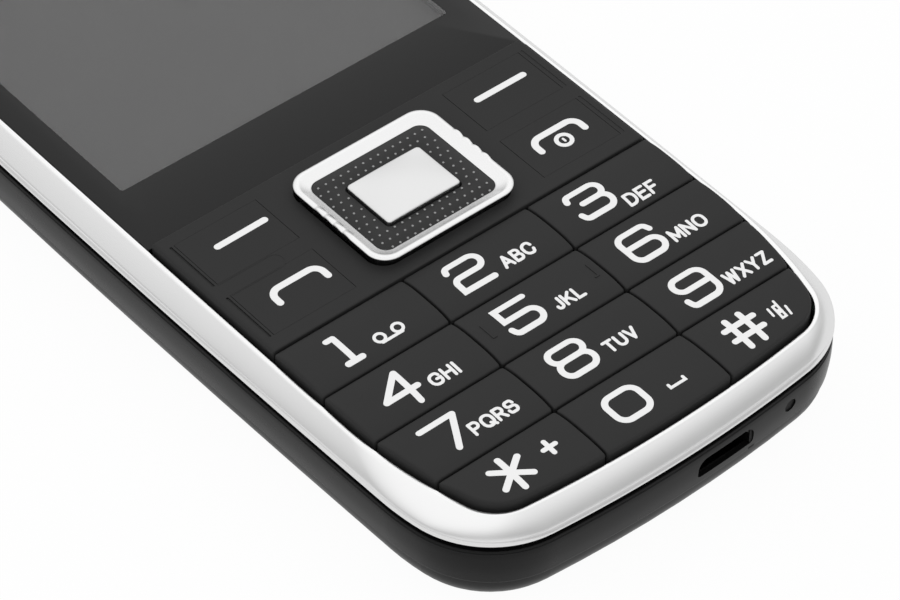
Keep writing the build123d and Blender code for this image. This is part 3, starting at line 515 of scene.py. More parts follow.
# %% Frame skin, opening and microphone
parting_z = 3.6
skin_profile = (
    (0.75, parting_z + 0.03),
    (0.46, parting_z + 0.03),
    (0.37, parting_z + 0.05),
    (0.33, parting_z + 0.12),
    (0.32, parting_z + 0.24),
    (0.25, parting_z + 0.32),
    (0.19, 4.4),
    (0.13, 4.9),
    (0.08, 5.5),
    (0.05, 6.1),
    (0.04, 6.6),
    (0.04, 7.2),
    (0.05, 7.6),
    (0.08, 7.84),
    (0.16, 7.9),
    (0.75, 7.9),
)


def round_the_phone(name, profile, material, sharp):
    """A closed profile of insets and heights, carried round the phone's outline."""
    rings = [at_height(outline(body_shape, inset), height) for inset, height in profile]
    return piece_from(name, *loft(rings, joined=True), material, sharp)


skin = round_the_phone("frame_skin", skin_profile, finishes["frame_plastic"], 30.0)


def end_y(x, inset):
    """How far out the lower end wall lies at some x, from the same arc as the outline."""
    reach = body_shape.end - inset
    return -(half_length - body_shape.end + np.sqrt(reach**2 - np.asarray(x) ** 2))


def end_cutter(name, edge):
    """A prism along the phone to cut the end wall; its outline is drawn in width and height."""
    rings = []
    for y in (end_y(0, 2.0), end_y(0, -1.5)):
        rings.append(np.column_stack([edge[:, 0], np.full(len(edge), y), edge[:, 1]]))
    return piece_from(name, *loft(rings), None)


patch_steps = 8
patch_thickness = 0.15


def patch_corners(outer, inner, low_z, high_z):
    """The four corners of the patch's section, all round."""
    return ((outer, low_z), (outer, high_z), (inner, high_z), (inner, low_z))


def end_patch(name, low_x, high_x, low_z, high_z, inset):
    """A thin dark patch behind a hole in the end wall: painted shade that keeps the hole's inside dark."""
    rings = []
    for x in np.linspace(low_x, high_x, patch_steps):
        outer, inner = end_y(x, inset), end_y(x, inset + patch_thickness)
        rings.append(np.array([(x, y, z) for y, z in patch_corners(outer, inner, low_z, high_z)]))
    return piece_from(name, *loft(rings), finishes["housing_plastic"])


def arc(centre, radius, first, last, count=13):
    """Points on an arc, angles in degrees."""
    angles = np.radians(np.linspace(first, last, count))
    return np.asarray(centre) + radius * np.column_stack([np.cos(angles), np.sin(angles)])


opening_low, opening_high = (1.4, 4.75), (9.0, 7.15)
top_radius, low_radius = 1.2, 0.5
opening_edge = np.vstack(
    [
        arc((opening_high[0] - low_radius, opening_low[1] + low_radius), low_radius, -90, 0, 9),
        arc((opening_high[0] - top_radius, opening_high[1] - top_radius), top_radius, 0, 90, 9),
        arc((opening_low[0] + top_radius, opening_high[1] - top_radius), top_radius, 90, 180, 9),
        arc((opening_low[0] + low_radius, opening_low[1] + low_radius), low_radius, 180, 270, 9),
    ]
)
mic_edge = arc((14.3, 6.1), 0.8, 0, 340, 9)
carve(skin, end_cutter("charging_opening", opening_edge))
carve(skin, end_cutter("microphone_hole", mic_edge))
crisp(skin, 30)
settle(skin, "phone_body", "frame_plastic")
# Dark patches behind the opening and the microphone's hole paint the shade inside them.
settle(end_patch("opening_shade", 8.55, 9.3, 3.9, 7.3, 0.22), "phone_body", "housing_plastic")
settle(end_patch("microphone_shade", 13.2, 15.4, 5.1, 7.1, 0.24), "phone_body", "housing_plastic")
lip_profile = ((0.6, 7.88), (0.19, 7.88), (0.16, 7.92), (0.16, 8.22), (0.2, 8.29), (0.6, 8.29))
frame_lip = round_the_phone("frame_lip", lip_profile, finishes["housing_plastic"], 40.0)
settle(frame_lip, "phone_body", "housing_plastic")

# %% [markdown]
# The key caps are cut from one crowned, softly swollen surface, and every cap has rounded edges: small
# ones at the gaps, a large one where the field of keys rolls down to the bezel. A cap starts as the
# window's outline clipped to the key's own cell, with its corners softened. Rings that shrink towards
# the middle carry the top, and each point's height comes from its distance to the edges.

# %% Key caps
crown_radius = 6000.0
key_rise = 0.22
key_swell = 0.45
rim_gap = 0.4
key_rim_radius = 0.28
plate_rim_radius = 0.42
edge_radius = 0.2
cap_gap = 0.22
corner_reach = 0.35
sample_step = 0.2
rim_line = outline(window_shape, rim_gap)


def clipped(points, axis, limit, keep):
    """The part of a closed outline on one side of a line; keep is 1 for above it and -1 for below."""
    found = []
    for start, end in zip(points, np.roll(points, -1, axis=0)):
        start_side = keep * (start[axis] - limit)
        end_side = keep * (end[axis] - limit)
        if start_side >= 0:
            found.append(start)
        if start_side * end_side < 0:
            found.append(start + (end - start) * start_side / (start_side - end_side))
    return np.array(found)


def evenly(points, step):
    """The same closed outline with evenly spaced points."""
    loop = np.vstack([points, points[:1]])
    lengths = np.concatenate([[0], np.cumsum(np.hypot(*np.diff(loop, axis=0).T))])
    count = int(lengths[-1] / step)
    marks = np.linspace(0, lengths[-1], count, endpoint=False)
    return np.column_stack([np.interp(marks, lengths, loop[:, axis]) for axis in (0, 1)])


def softened(points, reach, step):
    """A closed outline whose sharp corners are rounded over a short reach."""
    points = evenly(points, step)
    half = int(reach / step)
    return sum(np.roll(points, shift, axis=0) for shift in range(-half, half + 1)) / (2 * half + 1)


def distance(points, edge):
    """How far each point lies from a closed outline."""
    nearest = np.full(len(points), np.inf)
    for start, end in zip(edge, np.roll(edge, -1, axis=0)):
        run = end - start
        share = np.clip(((points - start) @ run) / (run @ run + 1e-12), 0, 1)
        gap = points - start - share[:, None] * run
        nearest = np.minimum(nearest, np.hypot(gap[:, 0], gap[:, 1]))
    return nearest


def fall(gap, radius):
    """How far a rounded edge has dropped at some distance from the edge."""
    inside = np.clip(radius - gap, 0, radius)
    return radius - np.sqrt(radius**2 - inside**2)


def key_surface(points, low_y, high_y, swell):
    """Height of the crowned, swollen top."""
    crown = points[:, 0] ** 2 / (2 * crown_radius)
    half = (high_y - low_y) / 2
    away = (points[:, 1] - (low_y + high_y) / 2) / half
    return face_z - crown + (key_rise if swell else 0.0) - swell * np.abs(away) ** 3


cap_insets = (0, 0.01, 0.03, 0.06, 0.1, 0.15, 0.22, 0.32, 0.45, 0.62, 0.85, 1.15, 1.6, 2.2, 2.9, 3.5)


def cap_rings(edge, low_y, high_y, swell, bottom, rim_radius, insets=cap_insets, half=3.9):
    """Rings of a cap, from its lower edge up the wall and in over the top."""
    middle = (edge.min(axis=0) + edge.max(axis=0)) / 2
    rings = [at_height(edge, bottom)]
    for inset in insets:
        ring = middle + (edge - middle) * (1 - inset / half)
        drop = fall(distance(ring, edge), edge_radius) ** 3 + fall(distance(ring, rim_line), rim_radius) ** 3
        rings.append(at_height(ring, key_surface(ring, low_y, high_y, swell) - np.cbrt(drop)))
    return rings


row_names = (
    ("key_1", "key_2", "key_3"),
    ("key_4", "key_5", "key_6"),
    ("key_7", "key_8", "key_9"),
    ("key_star", "key_0", "key_hash"),
)
key_bottom_z = key_low[2]


def row_span(row):
    """Lower and upper limit of a row of keys; the last row ends at the window."""
    high_y = line_y - row_pitch * row
    return high_y - row_pitch if row < 3 else -window_shape.half_length, high_y


for row, names in enumerate(row_names):
    low_y, high_y = row_span(row)
    for column, name in enumerate(names):
        cell = clipped(rim_line, 1, high_y - cap_gap / 2, -1)
        cell = clipped(cell, 1, low_y + cap_gap / 2, 1) if row < 3 else cell
        if column < 2:
            cell = clipped(cell, 0, (column - 0.5) * column_pitch - cap_gap / 2, -1)
        if column > 0:
            cell = clipped(cell, 0, (column - 1.5) * column_pitch + cap_gap / 2, 1)
        cell = softened(cell, corner_reach, sample_step)
        rings = cap_rings(cell, low_y, high_y, key_swell, key_bottom_z, key_rim_radius)
        cap = piece_from(name + "_cap", *loft(rings), finishes["key_plastic"], sharp=50.0)
        settle(cap, name, "key_plastic", name)

# %% [markdown]
# The next pieces have windows and grooves, as a mill would leave them in a mould. They are cut with
# closed prisms, whose outlines are rounded or plain rectangles. A rounded one keeps its count of points
# at any size, so that two of them can also be lofted together.

# %% Cutting helpers
def rounded_outline(centre, width, length, radius, corner_steps=8, arm_steps=1):
    """An anticlockwise rounded rectangle with the same count of points at any size."""
    points = []
    half = np.array([width / 2 - radius, length / 2 - radius])
    corners = [half * sign for sign in ((1, 1), (-1, 1), (-1, -1), (1, -1))]
    for index, corner in enumerate(corners):
        for angle in np.linspace(0, math.pi / 2, corner_steps):
            turned = angle + index * math.pi / 2
            points.append(corner + radius * np.array([math.cos(turned), math.sin(turned)]))
        following = corners[(index + 1) % 4]
        turned = (index + 1) * math.pi / 2
        way = radius * np.array([math.cos(turned), math.sin(turned)])
        for share in np.linspace(0, 1, arm_steps + 1)[1:-1]:
            points.append(corner + way + (following - corner) * share)
    return np.array(points) + np.asarray(centre)


def block_outline(low_x, high_x, low_y, high_y):
    """A rectangle between two corners."""
    return np.array([(low_x, low_y), (high_x, low_y), (high_x, high_y), (low_x, high_y)], float)


def prism(name, edge, low_z, high_z, material=None):
    """A closed prism, with no material when it only cuts."""
    return piece_from(name, *loft([at_height(edge, low_z), at_height(edge, high_z)]), material)


print("cutting helpers ready")

# %% [markdown]
# Above the digits lies the function plate, one moulding whose four corners flex when pressed: two soft
# keys, the call key and the end key. It is made as one cap, then cut: a window for the navigation
# ring, four places for the flexing tabs and a shallow groove beside each. The tabs are cut from the
# same cap, so that their tops run on without a step, and a fine slit gives each one room to swing.

# %% Function plate and its four tabs
tab_outer_x = 22.9
tab_inner_x = 12.4
tab_slit = 0.02
tab_end_slit = 0.06
groove_x = 23.32
groove_width = 0.3
groove_depth = 0.14
soft_span = (line_y + 11.05, line_y + 18.3)
call_span = (line_y + 1.9, line_y + 9.0)
plate_insets = cap_insets[:13] + (2.3, 3.2, 4.4, 5.8, 7.4, 9.0)
plate_reach = 9.8
tab_depth = 1.9
function_low_y = line_y + key_gap / 2
plate_edge = clipped(clipped(rim_line, 1, function_top_y, -1), 1, function_low_y, 1)
plate_edge = softened(plate_edge, corner_reach, sample_step)
plate_rings = cap_rings(
    plate_edge,
    function_low_y,
    function_top_y,
    0.0,
    plate_low[2],
    plate_rim_radius,
    plate_insets,
    plate_reach,
)
plate = piece_from("function_face", *loft(plate_rings), finishes["key_plastic"], sharp=40.0)
ring_size = (ring_high[0] * 2, ring_high[1] - ring_low[1])
ring_gap = -0.1
ring_corner = 2.4
hole = rounded_outline(
    (0, nav_y), ring_size[0] + ring_gap * 2, ring_size[1] + ring_gap * 2, ring_corner + ring_gap, 12
)
above = face_z + 1.0
below = plate_low[2] - 1.0
tabs = {
    "left_soft_key": (-1, soft_span),
    "call_key": (-1, call_span),
    "right_soft_key": (1, soft_span),
    "end_key": (1, call_span),
}
whole = plate.data.copy()
for name, (side, (low_y, high_y)) in tabs.items():
    span = sorted((side * tab_inner_x, side * tab_outer_x))
    edge = block_outline(*span, low_y, high_y)
    slit_span = sorted((side * (tab_inner_x + tab_end_slit), side * (tab_outer_x - tab_end_slit)))
    tab_edge = block_outline(*slit_span, low_y + tab_slit, high_y - tab_slit)
    tab = bpy.data.objects.new(name + "_face", whole.copy())
    bpy.context.scene.collection.objects.link(tab)
    carve(tab, prism("keep", tab_edge, face_z - tab_depth, above), "INTERSECT")
    crisp(tab, 40)
    settle(tab, name, "key_plastic", name)
    carve(plate, prism("room", edge, below, above))
    groove_edge = rounded_outline(
        (side * groove_x, (low_y + high_y) / 2), groove_width, high_y - low_y, groove_width / 2 - 0.01, 6
    )
    groove_floor = face_z - groove_x**2 / (2 * crown_radius)
    groove_floor -= groove_depth if side < 0 else groove_depth / 3
    carve(plate, prism("groove", groove_edge, groove_floor, above))
carve(plate, prism("window", hole, below, above))
crisp(plate, 40)
settle(plate, "phone_body", "key_plastic", "function_plate")

# %% [markdown]
# The navigation ring is a silver frame that rocks four ways. Its section is a low arch that falls to
# the dark plate inside it, and its left and right arms carry four small ridges for the thumb. The arms
# get many points, so that the ridges can be waves added to the section's height.

# %% Navigation ring
nav_rise = 0.62
ring_trim = (-0.1, 0.15)
ring_size = (ring_size[0] + ring_trim[0], ring_size[1] + ring_trim[1])
ring_middle_y = nav_y - 0.15
section_width = 0.9
corner_share = 0.6
ring_section = (
    (0.65, -1.35),
    (0.6, 0.2),
    (0.04, 0.32),
    (0.0, 0.37),
    (0.02, 0.44),
    (0.1, 0.5),
    (0.25, 0.56),
    (0.45, 0.57),
    (0.62, 0.55),
    (0.75, 0.49),
    (0.95, 0.39),
    (1.35, 0.22),
    (1.7, 0.08),
    (1.85, 0.03),
    (1.87, 0.0),
    (1.87, -0.9),
    (1.2, -1.35),
)
ridge_count = 4
ridge_pitch = 1.5
ridge_height = 0.2
ridge_bulge = 0.06
ridge_narrowing = 1.3
ridge_inset, ridge_reach = 0.2, 0.6
arm_width = 1.8
rings = []
for inset, rise in ring_section:
    edge = rounded_outline(
        (0, ring_middle_y),
        ring_size[0] - inset * section_width * 2,
        ring_size[1] - inset * section_width * 2,
        ring_corner - inset * corner_share,
        18,
        90,
    )
    local = (edge[:, 1] - ring_middle_y) / ridge_pitch + ridge_count / 2
    on_arm = (np.abs(edge[:, 0]) > ring_size[0] / 2 - arm_width) & (local > 0) & (local < ridge_count)
    wave = np.where(on_arm, np.abs(np.sin(math.pi * local)) ** ridge_narrowing, 0.0)
    top = max(0.0, 1 - abs(inset - ridge_inset) / ridge_reach)
    height = face_z + nav_rise + rise + wave * ridge_height * top * (rise > 0)
    edge[:, 0] += np.sign(edge[:, 0]) * wave * ridge_bulge * top
    rings.append(at_height(edge, height))
nav_ring = piece_from("navigation_ring", *loft(rings, joined=True), finishes["nav_silver"], sharp=50.0)
settle(nav_ring, "nav_ring", "nav_silver", "nav_ring")

# %% [markdown]
# Inside the ring lies a dark plate with a staggered field of tiny raised dots, which catch the light
# one by one. The dots get a lighter, half-metal colour than the plate: a painted highlight for that
# light. Each dot is a low dome of its own, set on the plate wherever the field leaves room.

# %% Dotted plate
ring_band = 1.68
plate_rise = 0.64
ok_size = (9.6, 7.0)
ok_middle_y = nav_y - 0.2
ok_gap = 0.18
dot_radius = 0.15
dot_height = 0.11
dot_pitch = (0.984, 1.036)
dot_rows, dot_columns = 12, 19
plate_corner, hole_corner = 1.25, 0.55
inner_size = (ring_size[0] - ring_band * 2 - 0.06, ring_size[1] - ring_band * 2 - 0.06)
rings = []
plate_profile = ((0.0, -0.7), (0.0, plate_rise - 0.03), (0.03, plate_rise))
for inset, rise in plate_profile:
    size = [value - inset * 2 for value in inner_size]
    edge = rounded_outline((0, ring_middle_y), *size, plate_corner, 12, 4)
    rings.append(at_height(edge, face_z + rise))
for inset, rise in reversed(plate_profile):
    size = [value + ok_gap * 2 + inset * 2 for value in ok_size]
    edge = rounded_outline((0, ok_middle_y), *size, hole_corner, 12, 4)
    rings.append(at_height(edge, face_z + rise))
nav_plate = piece_from("dotted_plate", *loft(rings, joined=True), finishes["nav_plate_plastic"], sharp=60.0)
settle(nav_plate, "nav_ring", "nav_plate_plastic", "nav_plate")
all_points, all_faces = [], []
total = dots = 0
field_middle_y = nav_y - 0.55
field_left, field_right = -7.45, 7.0
clear_x, clear_y = 5.2, 3.6
for row in range(dot_rows):
    for column in range(dot_columns):
        x = (column - dot_columns // 2 + ((row + 1) % 2) / 2) * dot_pitch[0]
        y = field_middle_y + (row - (dot_rows - 1) / 2) * dot_pitch[1]
        if not field_left < x < field_right or (abs(x) < clear_x and abs(y - ok_middle_y) < clear_y):
            continue
        dome = []
        for share, lift in ((1.0, -0.1), (0.97, 0.25), (0.8, 0.6), (0.45, 0.9)):
            angles = np.linspace(0, 2 * math.pi, 10, endpoint=False)
            ring = np.column_stack([np.cos(angles), np.sin(angles)]) * dot_radius * share + (x, y)
            dome.append(at_height(ring, face_z + plate_rise + dot_height * lift))
        dome_points, dome_faces = loft(dome)
        all_points.append(dome_points)
        all_faces += [tuple(index + total for index in face) for face in dome_faces]
        total += len(dome_points)
        dots += 1
dot_field = piece_from("raised_dots", np.vstack(all_points), all_faces, dot_painted_highlight, sharp=60.0)
settle(dot_field, "nav_ring", "nav_plate_plastic")
print("dots", dots)

# %% [markdown]
# The middle key is a silver block with small round corners and a top like a shallow pillow.

# %% Middle key
ok_top = ok_high[2] + 0.94
ok_corner = 0.45
ok_edge = 0.2
ok_crown = (0.38, 0.32)


def pillow(edge):
    """How far the pillow has dropped at each point."""
    away = (edge - (0, ok_middle_y)) / (ok_size[0] / 2, ok_size[1] / 2)
    across, along = away[:, 0] ** 2, away[:, 1] ** 2
    return ok_crown[0] * across * (1 - along / 2) + ok_crown[1] * along * (1 - across / 2)


rings = [at_height(rounded_outline((0, ok_middle_y), *ok_size, ok_corner, 8, 16), ok_low[2])]
for angle in np.linspace(0, math.pi / 2, 6):
    inset = ok_edge * (1 - math.cos(angle))
    size = [value - inset * 2 for value in ok_size]
    edge = rounded_outline((0, ok_middle_y), *size, ok_corner - inset / 2, 8, 16)
    rings.append(at_height(edge, ok_top - pillow(edge) - ok_edge * (1 - math.sin(angle))))
flat = rings[-1][:, :2]
for share in (0.95, 0.88, 0.78, 0.66, 0.52, 0.38, 0.24, 0.1):
    edge = (0, ok_middle_y) + (flat - (0, ok_middle_y)) * share
    rings.append(at_height(edge, ok_top - pillow(edge)))
middle_key = piece_from("middle_key", *loft(rings), middle_silver, sharp=50.0)
settle(middle_key, "ok_key", "nav_silver", "ok_key")

# %% [markdown]
# The display lens is a flat sheet of clear plastic whose border is printed black. The print is bonded
# to the sheet, so the border looks like one glossy black slab. It is made as a black frame with the
# earpiece slot cut through it, and the clear window is a second slab that fills the frame's opening.

# %% Lens border, clear window and earpiece
window_size = (43.5, 58.6)
window_middle = (0.0, line_y + 28.65 + window_size[1] / 2)
earpiece_y = half_length - 8.6
earpiece_size = (11.0, 1.5)
earpiece_corner = 0.74
lens_edge = clipped(outline(window_shape, 0.05), 1, lens_low[1], 1)
lens_edge = softened(lens_edge, 0.3, 0.25)
lens_profile = (
    (0.0, lens_low[2]),
    (0.0, lens_high[2] - 0.1),
    (0.03, lens_high[2] - 0.03),
    (0.1, lens_high[2]),
)
lens_middle = np.array([0.0, (lens_low[1] + lens_high[1]) / 2])
rings = []
for inset, height in lens_profile:
    shrink = 1 - inset / np.array([lens_high[0], (lens_high[1] - lens_low[1]) / 2])
    rings.append(at_height(lens_middle + (lens_edge - lens_middle) * shrink, height))
lens_border = piece_from("lens_border", *loft(rings), lens_black, sharp=30.0)
window_corner = 0.3
slot_edge = rounded_outline((0, earpiece_y), *earpiece_size, earpiece_corner, 10)
opening = rounded_outline(window_middle, *window_size, window_corner, 6)
carve(lens_border, prism("slot", slot_edge, lens_low[2] - 1, above))
carve(lens_border, prism("opening", opening, lens_low[2] - 1, above))
crisp(lens_border, 30)
settle(lens_border, "phone_body", "lens", "display_lens")
fit = 0.004
pane_edge = rounded_outline(window_middle, window_size[0] - fit, window_size[1] - fit, window_corner, 6)
settle(prism("lens_window", pane_edge, lens_low[2], lens_high[2], lens_clear), "phone_body", "lens")

# %% [markdown]
# The legends are pad printed in white. Each sign is drawn as strokes of one width with round ends, the
# way an engraver's tool would cut them. The strokes of a key are merged into one flat shape, and the
# shape is laid on the key's own surface as a very thin slab, so that it moves with the key.

# %% Strokes and prints
print_height = 0.03
print_sink = 0.03
stroke_step = 0.5


def bent(*marks):
    """A line through marks; a mark's third value rounds its corner with that radius."""
    spots = [np.array(mark[:2], float) for mark in marks]
    found = [spots[0]]
    for before, mark, spot, after in zip(spots, marks[1:-1], spots[1:], spots[2:]):
        radius = mark[2] if len(mark) > 2 else 0.0
        if not radius:
            found.append(spot)
            continue
        back = (before - spot) / np.hypot(*(before - spot))
        on = (after - spot) / np.hypot(*(after - spot))
        half = math.acos(np.clip(back @ on, -1, 1)) / 2
        centre = spot + (back + on) / np.hypot(*(back + on)) * radius / math.sin(half)
        start = spot + back * radius / math.tan(half) - centre
        end = spot + on * radius / math.tan(half) - centre
        first = math.atan2(start[1], start[0])
        sweep = (math.atan2(end[1], end[0]) - first + math.pi) % (2 * math.pi) - math.pi
        for share in np.linspace(0, 1, 9):
            angle = first + sweep * share
            found.append(centre + radius * np.array([math.cos(angle), math.sin(angle)]))
    found.append(spots[-1])
    line = [found[0]]
    for start, end in zip(found, found[1:]):
        length = np.hypot(*(end - start))
        if length < 1e-6:
            continue
        pieces = max(1, math.ceil(length / stroke_step))
        line += [start + (end - start) * share for share in np.linspace(0, 1, pieces + 1)[1:]]
    return np.array(line)


def stroke(line, width):
    """The outline of a line drawn with a round tool."""
    half = width / 2
    ways = np.diff(line, axis=0)
    ways /= np.hypot(ways[:, 0], ways[:, 1])[:, None]
    sides = np.column_stack([-ways[:, 1], ways[:, 0]])
    joint = np.vstack([sides[:1], sides[:-1] + sides[1:], sides[-1:]])
    joint /= np.hypot(joint[:, 0], joint[:, 1])[:, None]
    lean = np.vstack([sides[:1], sides])
    joint *= half / np.clip((joint * lean).sum(axis=1), 0.5, 1)[:, None]
    turns = np.linspace(math.pi / 2, -math.pi / 2, 9)[1:-1]

    def cap(spot, way):
        side = np.array([-way[1], way[0]])
        return [spot + half * (math.cos(turn) * way + math.sin(turn) * side) for turn in turns]

    loop = list(line + joint) + cap(line[-1], ways[-1]) + list((line - joint)[::-1]) + cap(line[0], -ways[0])
    return np.array(loop)


def inside(spots, loop):
    """Which spots lie within a closed outline."""
    found = np.zeros(len(spots), bool)
    for start, end in zip(loop, np.roll(loop, -1, axis=0)):
        spans = (start[1] > spots[:, 1]) != (end[1] > spots[:, 1])
        if spans.any():
            share = (spots[:, 1] - start[1]) / (end[1] - start[1])
            found ^= spans & (spots[:, 0] < start[0] + share * (end[0] - start[0]))
    return found


def lay_print(name, outlines, surface, body, slot, material=white_print, rise=print_height):
    """Merges outlines into one thin slab that follows a surface."""
    spots = [Vector(spot) for loop in outlines for spot in loop]
    starts = np.cumsum([0] + [len(loop) for loop in outlines])
    rims = [list(range(start, end)) for start, end in zip(starts, starts[1:])]
    found, _, triangles = delaunay_2d_cdt(spots, [], rims, 0, 1e-5)[:3]
    flat = np.array([tuple(spot) for spot in found])
    middles = flat[np.array(triangles)].mean(axis=1)
    filled = np.any([inside(middles, loop) for loop in outlines], axis=0)
    kept = [tuple(face) for face, wanted in zip(triangles, filled) if wanted]
    count = len(flat)
    top = at_height(flat, surface(flat) + rise)
    bottom = at_height(flat, surface(flat) - print_sink)
    edges = {(face[index - 1], face[index]) for face in kept for index in range(3)}
    rim = [edge for edge in edges if edge[::-1] not in edges]
    faces = kept + [tuple(index + count for index in face[::-1]) for face in kept]
    faces += [(end, start, start + count, end + count) for start, end in sorted(rim)]
    piece = piece_from(name, np.vstack([top, bottom]), faces, material, sharp=40.0)
    settle(piece, body, slot)
    return piece


print("print helpers ready")

# %% [markdown]
# Digits first: every one is a few strokes around the same box, left of the key's middle. The numbers
# are millimetres from the key's centre, and the third one is the radius of a bend. A closed loop is
# drawn as two halves, so that no outline touches itself. The small signs come with a finer width each.

# %% Digits and signs
digit_width = 0.7


def ring_halves(low_x, high_x, low_y, high_y, radius):
    """Marks of a rounded box, as a left and a right half."""
    middle = (low_x + high_x) / 2
    return tuple(
        ((middle, high_y), (side, high_y, radius), (side, low_y, radius), (middle, low_y))
        for side in (low_x, high_x)
    )


digit_marks = {
    "key_1": (
        ((-3.37, 1.55), (-2.58, 1.55)),
        ((-2.57, 1.55), (-2.58, -2.15)),
        ((-3.5, -2.17), (-1.7, -2.17)),
    ),
    "key_2": (
        (
            (-4.57, 1.2),
            (-4.35, 1.9, 0.6),
            (-0.53, 1.9, 0.96),
            (-0.53, -0.03, 0.96),
            (-4.6, -0.03, 0.7),
            (-4.6, -1.9),
            (-0.8, -1.93),
        ),
    ),
    "key_3": (
        ((-4.83, 1.22), (-4.6, 1.95, 0.6), (-0.67, 1.95, 0.9), (-0.67, 0.15, 0.88), (-3.65, 0.15)),
        ((-1.9, 0.15), (-0.67, 0.15, 0.9), (-0.67, -1.85, 0.98), (-4.6, -1.85, 0.6), (-4.86, -1.1)),
    ),
    "key_4": (
        ((-0.1, -0.88), (-4.0, -0.92)),
        ((-4.0, -0.92), (-0.94, 1.88)),
        ((-0.94, 1.88), (-1.05, -2.6)),
    ),
    "key_5": (
        (
            (-0.72, 1.9),
            (-4.45, 1.9),
            (-4.45, 0.12),
            (-0.54, 0.12, 0.98),
            (-0.54, -1.9, 0.98),
            (-4.3, -1.9, 0.6),
            (-4.57, -1.15),
        ),
    ),
    "key_6": (
        ((-0.82, 1.0), (-1.1, 1.85, 0.6), (-4.86, 1.85, 1.05), (-4.86, -2.13, 1.05), (-2.84, -2.13)),
        ((-2.84, -2.13), (-0.82, -2.13, 1.02), (-0.82, -0.05, 1.02), (-4.84, -0.05)),
    ),
    "key_7": (((-4.1, 1.85), (0.0, 1.87)), ((0.0, 1.87), (-2.24, -2.0))),
    "key_8": ring_halves(-4.5, -0.52, 0.08, 2.0, 0.94) + ring_halves(-4.5, -0.52, -2.0, 0.08, 1.0),
    "key_9": (
        ((-4.86, -1.5), (-4.6, -2.4, 0.6), (-0.78, -2.4, 1.05), (-0.78, 1.62, 1.05), (-2.8, 1.62)),
        ((-2.8, 1.62), (-4.81, 1.62, 0.96), (-4.81, -0.34, 0.96), (-0.8, -0.34)),
    ),
    "key_star": (
        ((-0.58, 2.14), (-0.7, -2.14)),
        ((-2.3, 1.34), (1.14, -1.26)),
        ((1.2, 1.34), (-2.42, -1.3)),
    ),
    "key_0": ring_halves(-4.42, -0.4, -2.06, 1.52, 1.15),
    "key_hash": (
        ((-3.96, 1.9), (-4.1, -2.24)),
        ((-2.16, 1.9), (-2.3, -2.24)),
        ((-4.96, 0.82), (-1.16, 0.84)),
        ((-5.0, -0.82), (-1.2, -0.82)),
    ),
}
digits = {name: [bent(*marks) for marks in strokes] for name, strokes in digit_marks.items()}
tape_reels = [(arc((x, -1.36), 0.57, first, first + 180), 0.34) for x in (1.12, 3.38) for first in (0, 180)]
small_signs = {
    "key_1": tape_reels + [(bent((1.0, -2.03), (3.5, -2.03)), 0.34)],
    "key_star": [(bent((4.36, 1.1), (4.3, -0.6)), 0.54), (bent((3.6, 0.24), (5.12, 0.26)), 0.54)],
    "key_0": [(bent((2.28, -0.98), (2.28, -1.42), (4.16, -1.42), (4.16, -0.98)), 0.34)],
    "key_hash": [
        (bent((0.52, 0.46), (0.36, -0.6)), 0.26),
        (bent((2.22, -0.3), (1.96, -1.46)), 0.26),
        (bent((1.12, 0.4), (0.9, -1.36), (1.4, -1.36), (1.62, 0.4)), 0.28),
        (bent((1.12, 0.4), (1.62, 0.4)), 0.28),
        (bent((1.72, 0.95), (1.62, 0.2)), 0.26),
        (bent((1.05, -0.32), (1.52, -0.32)), 0.3),
        (bent((1.0, -0.62), (1.48, -0.62)), 0.3),
    ],
}
print("digits", sorted(digits))

# %% [markdown]
# The letter groups are plain capitals, drawn with a finer tool. Each letter is written once on a box of
# its own, with its width first and then its strokes, and a word is stretched to the room that it has
# beside its digit. Many letters share a stem at their left side, and some share a bowl.

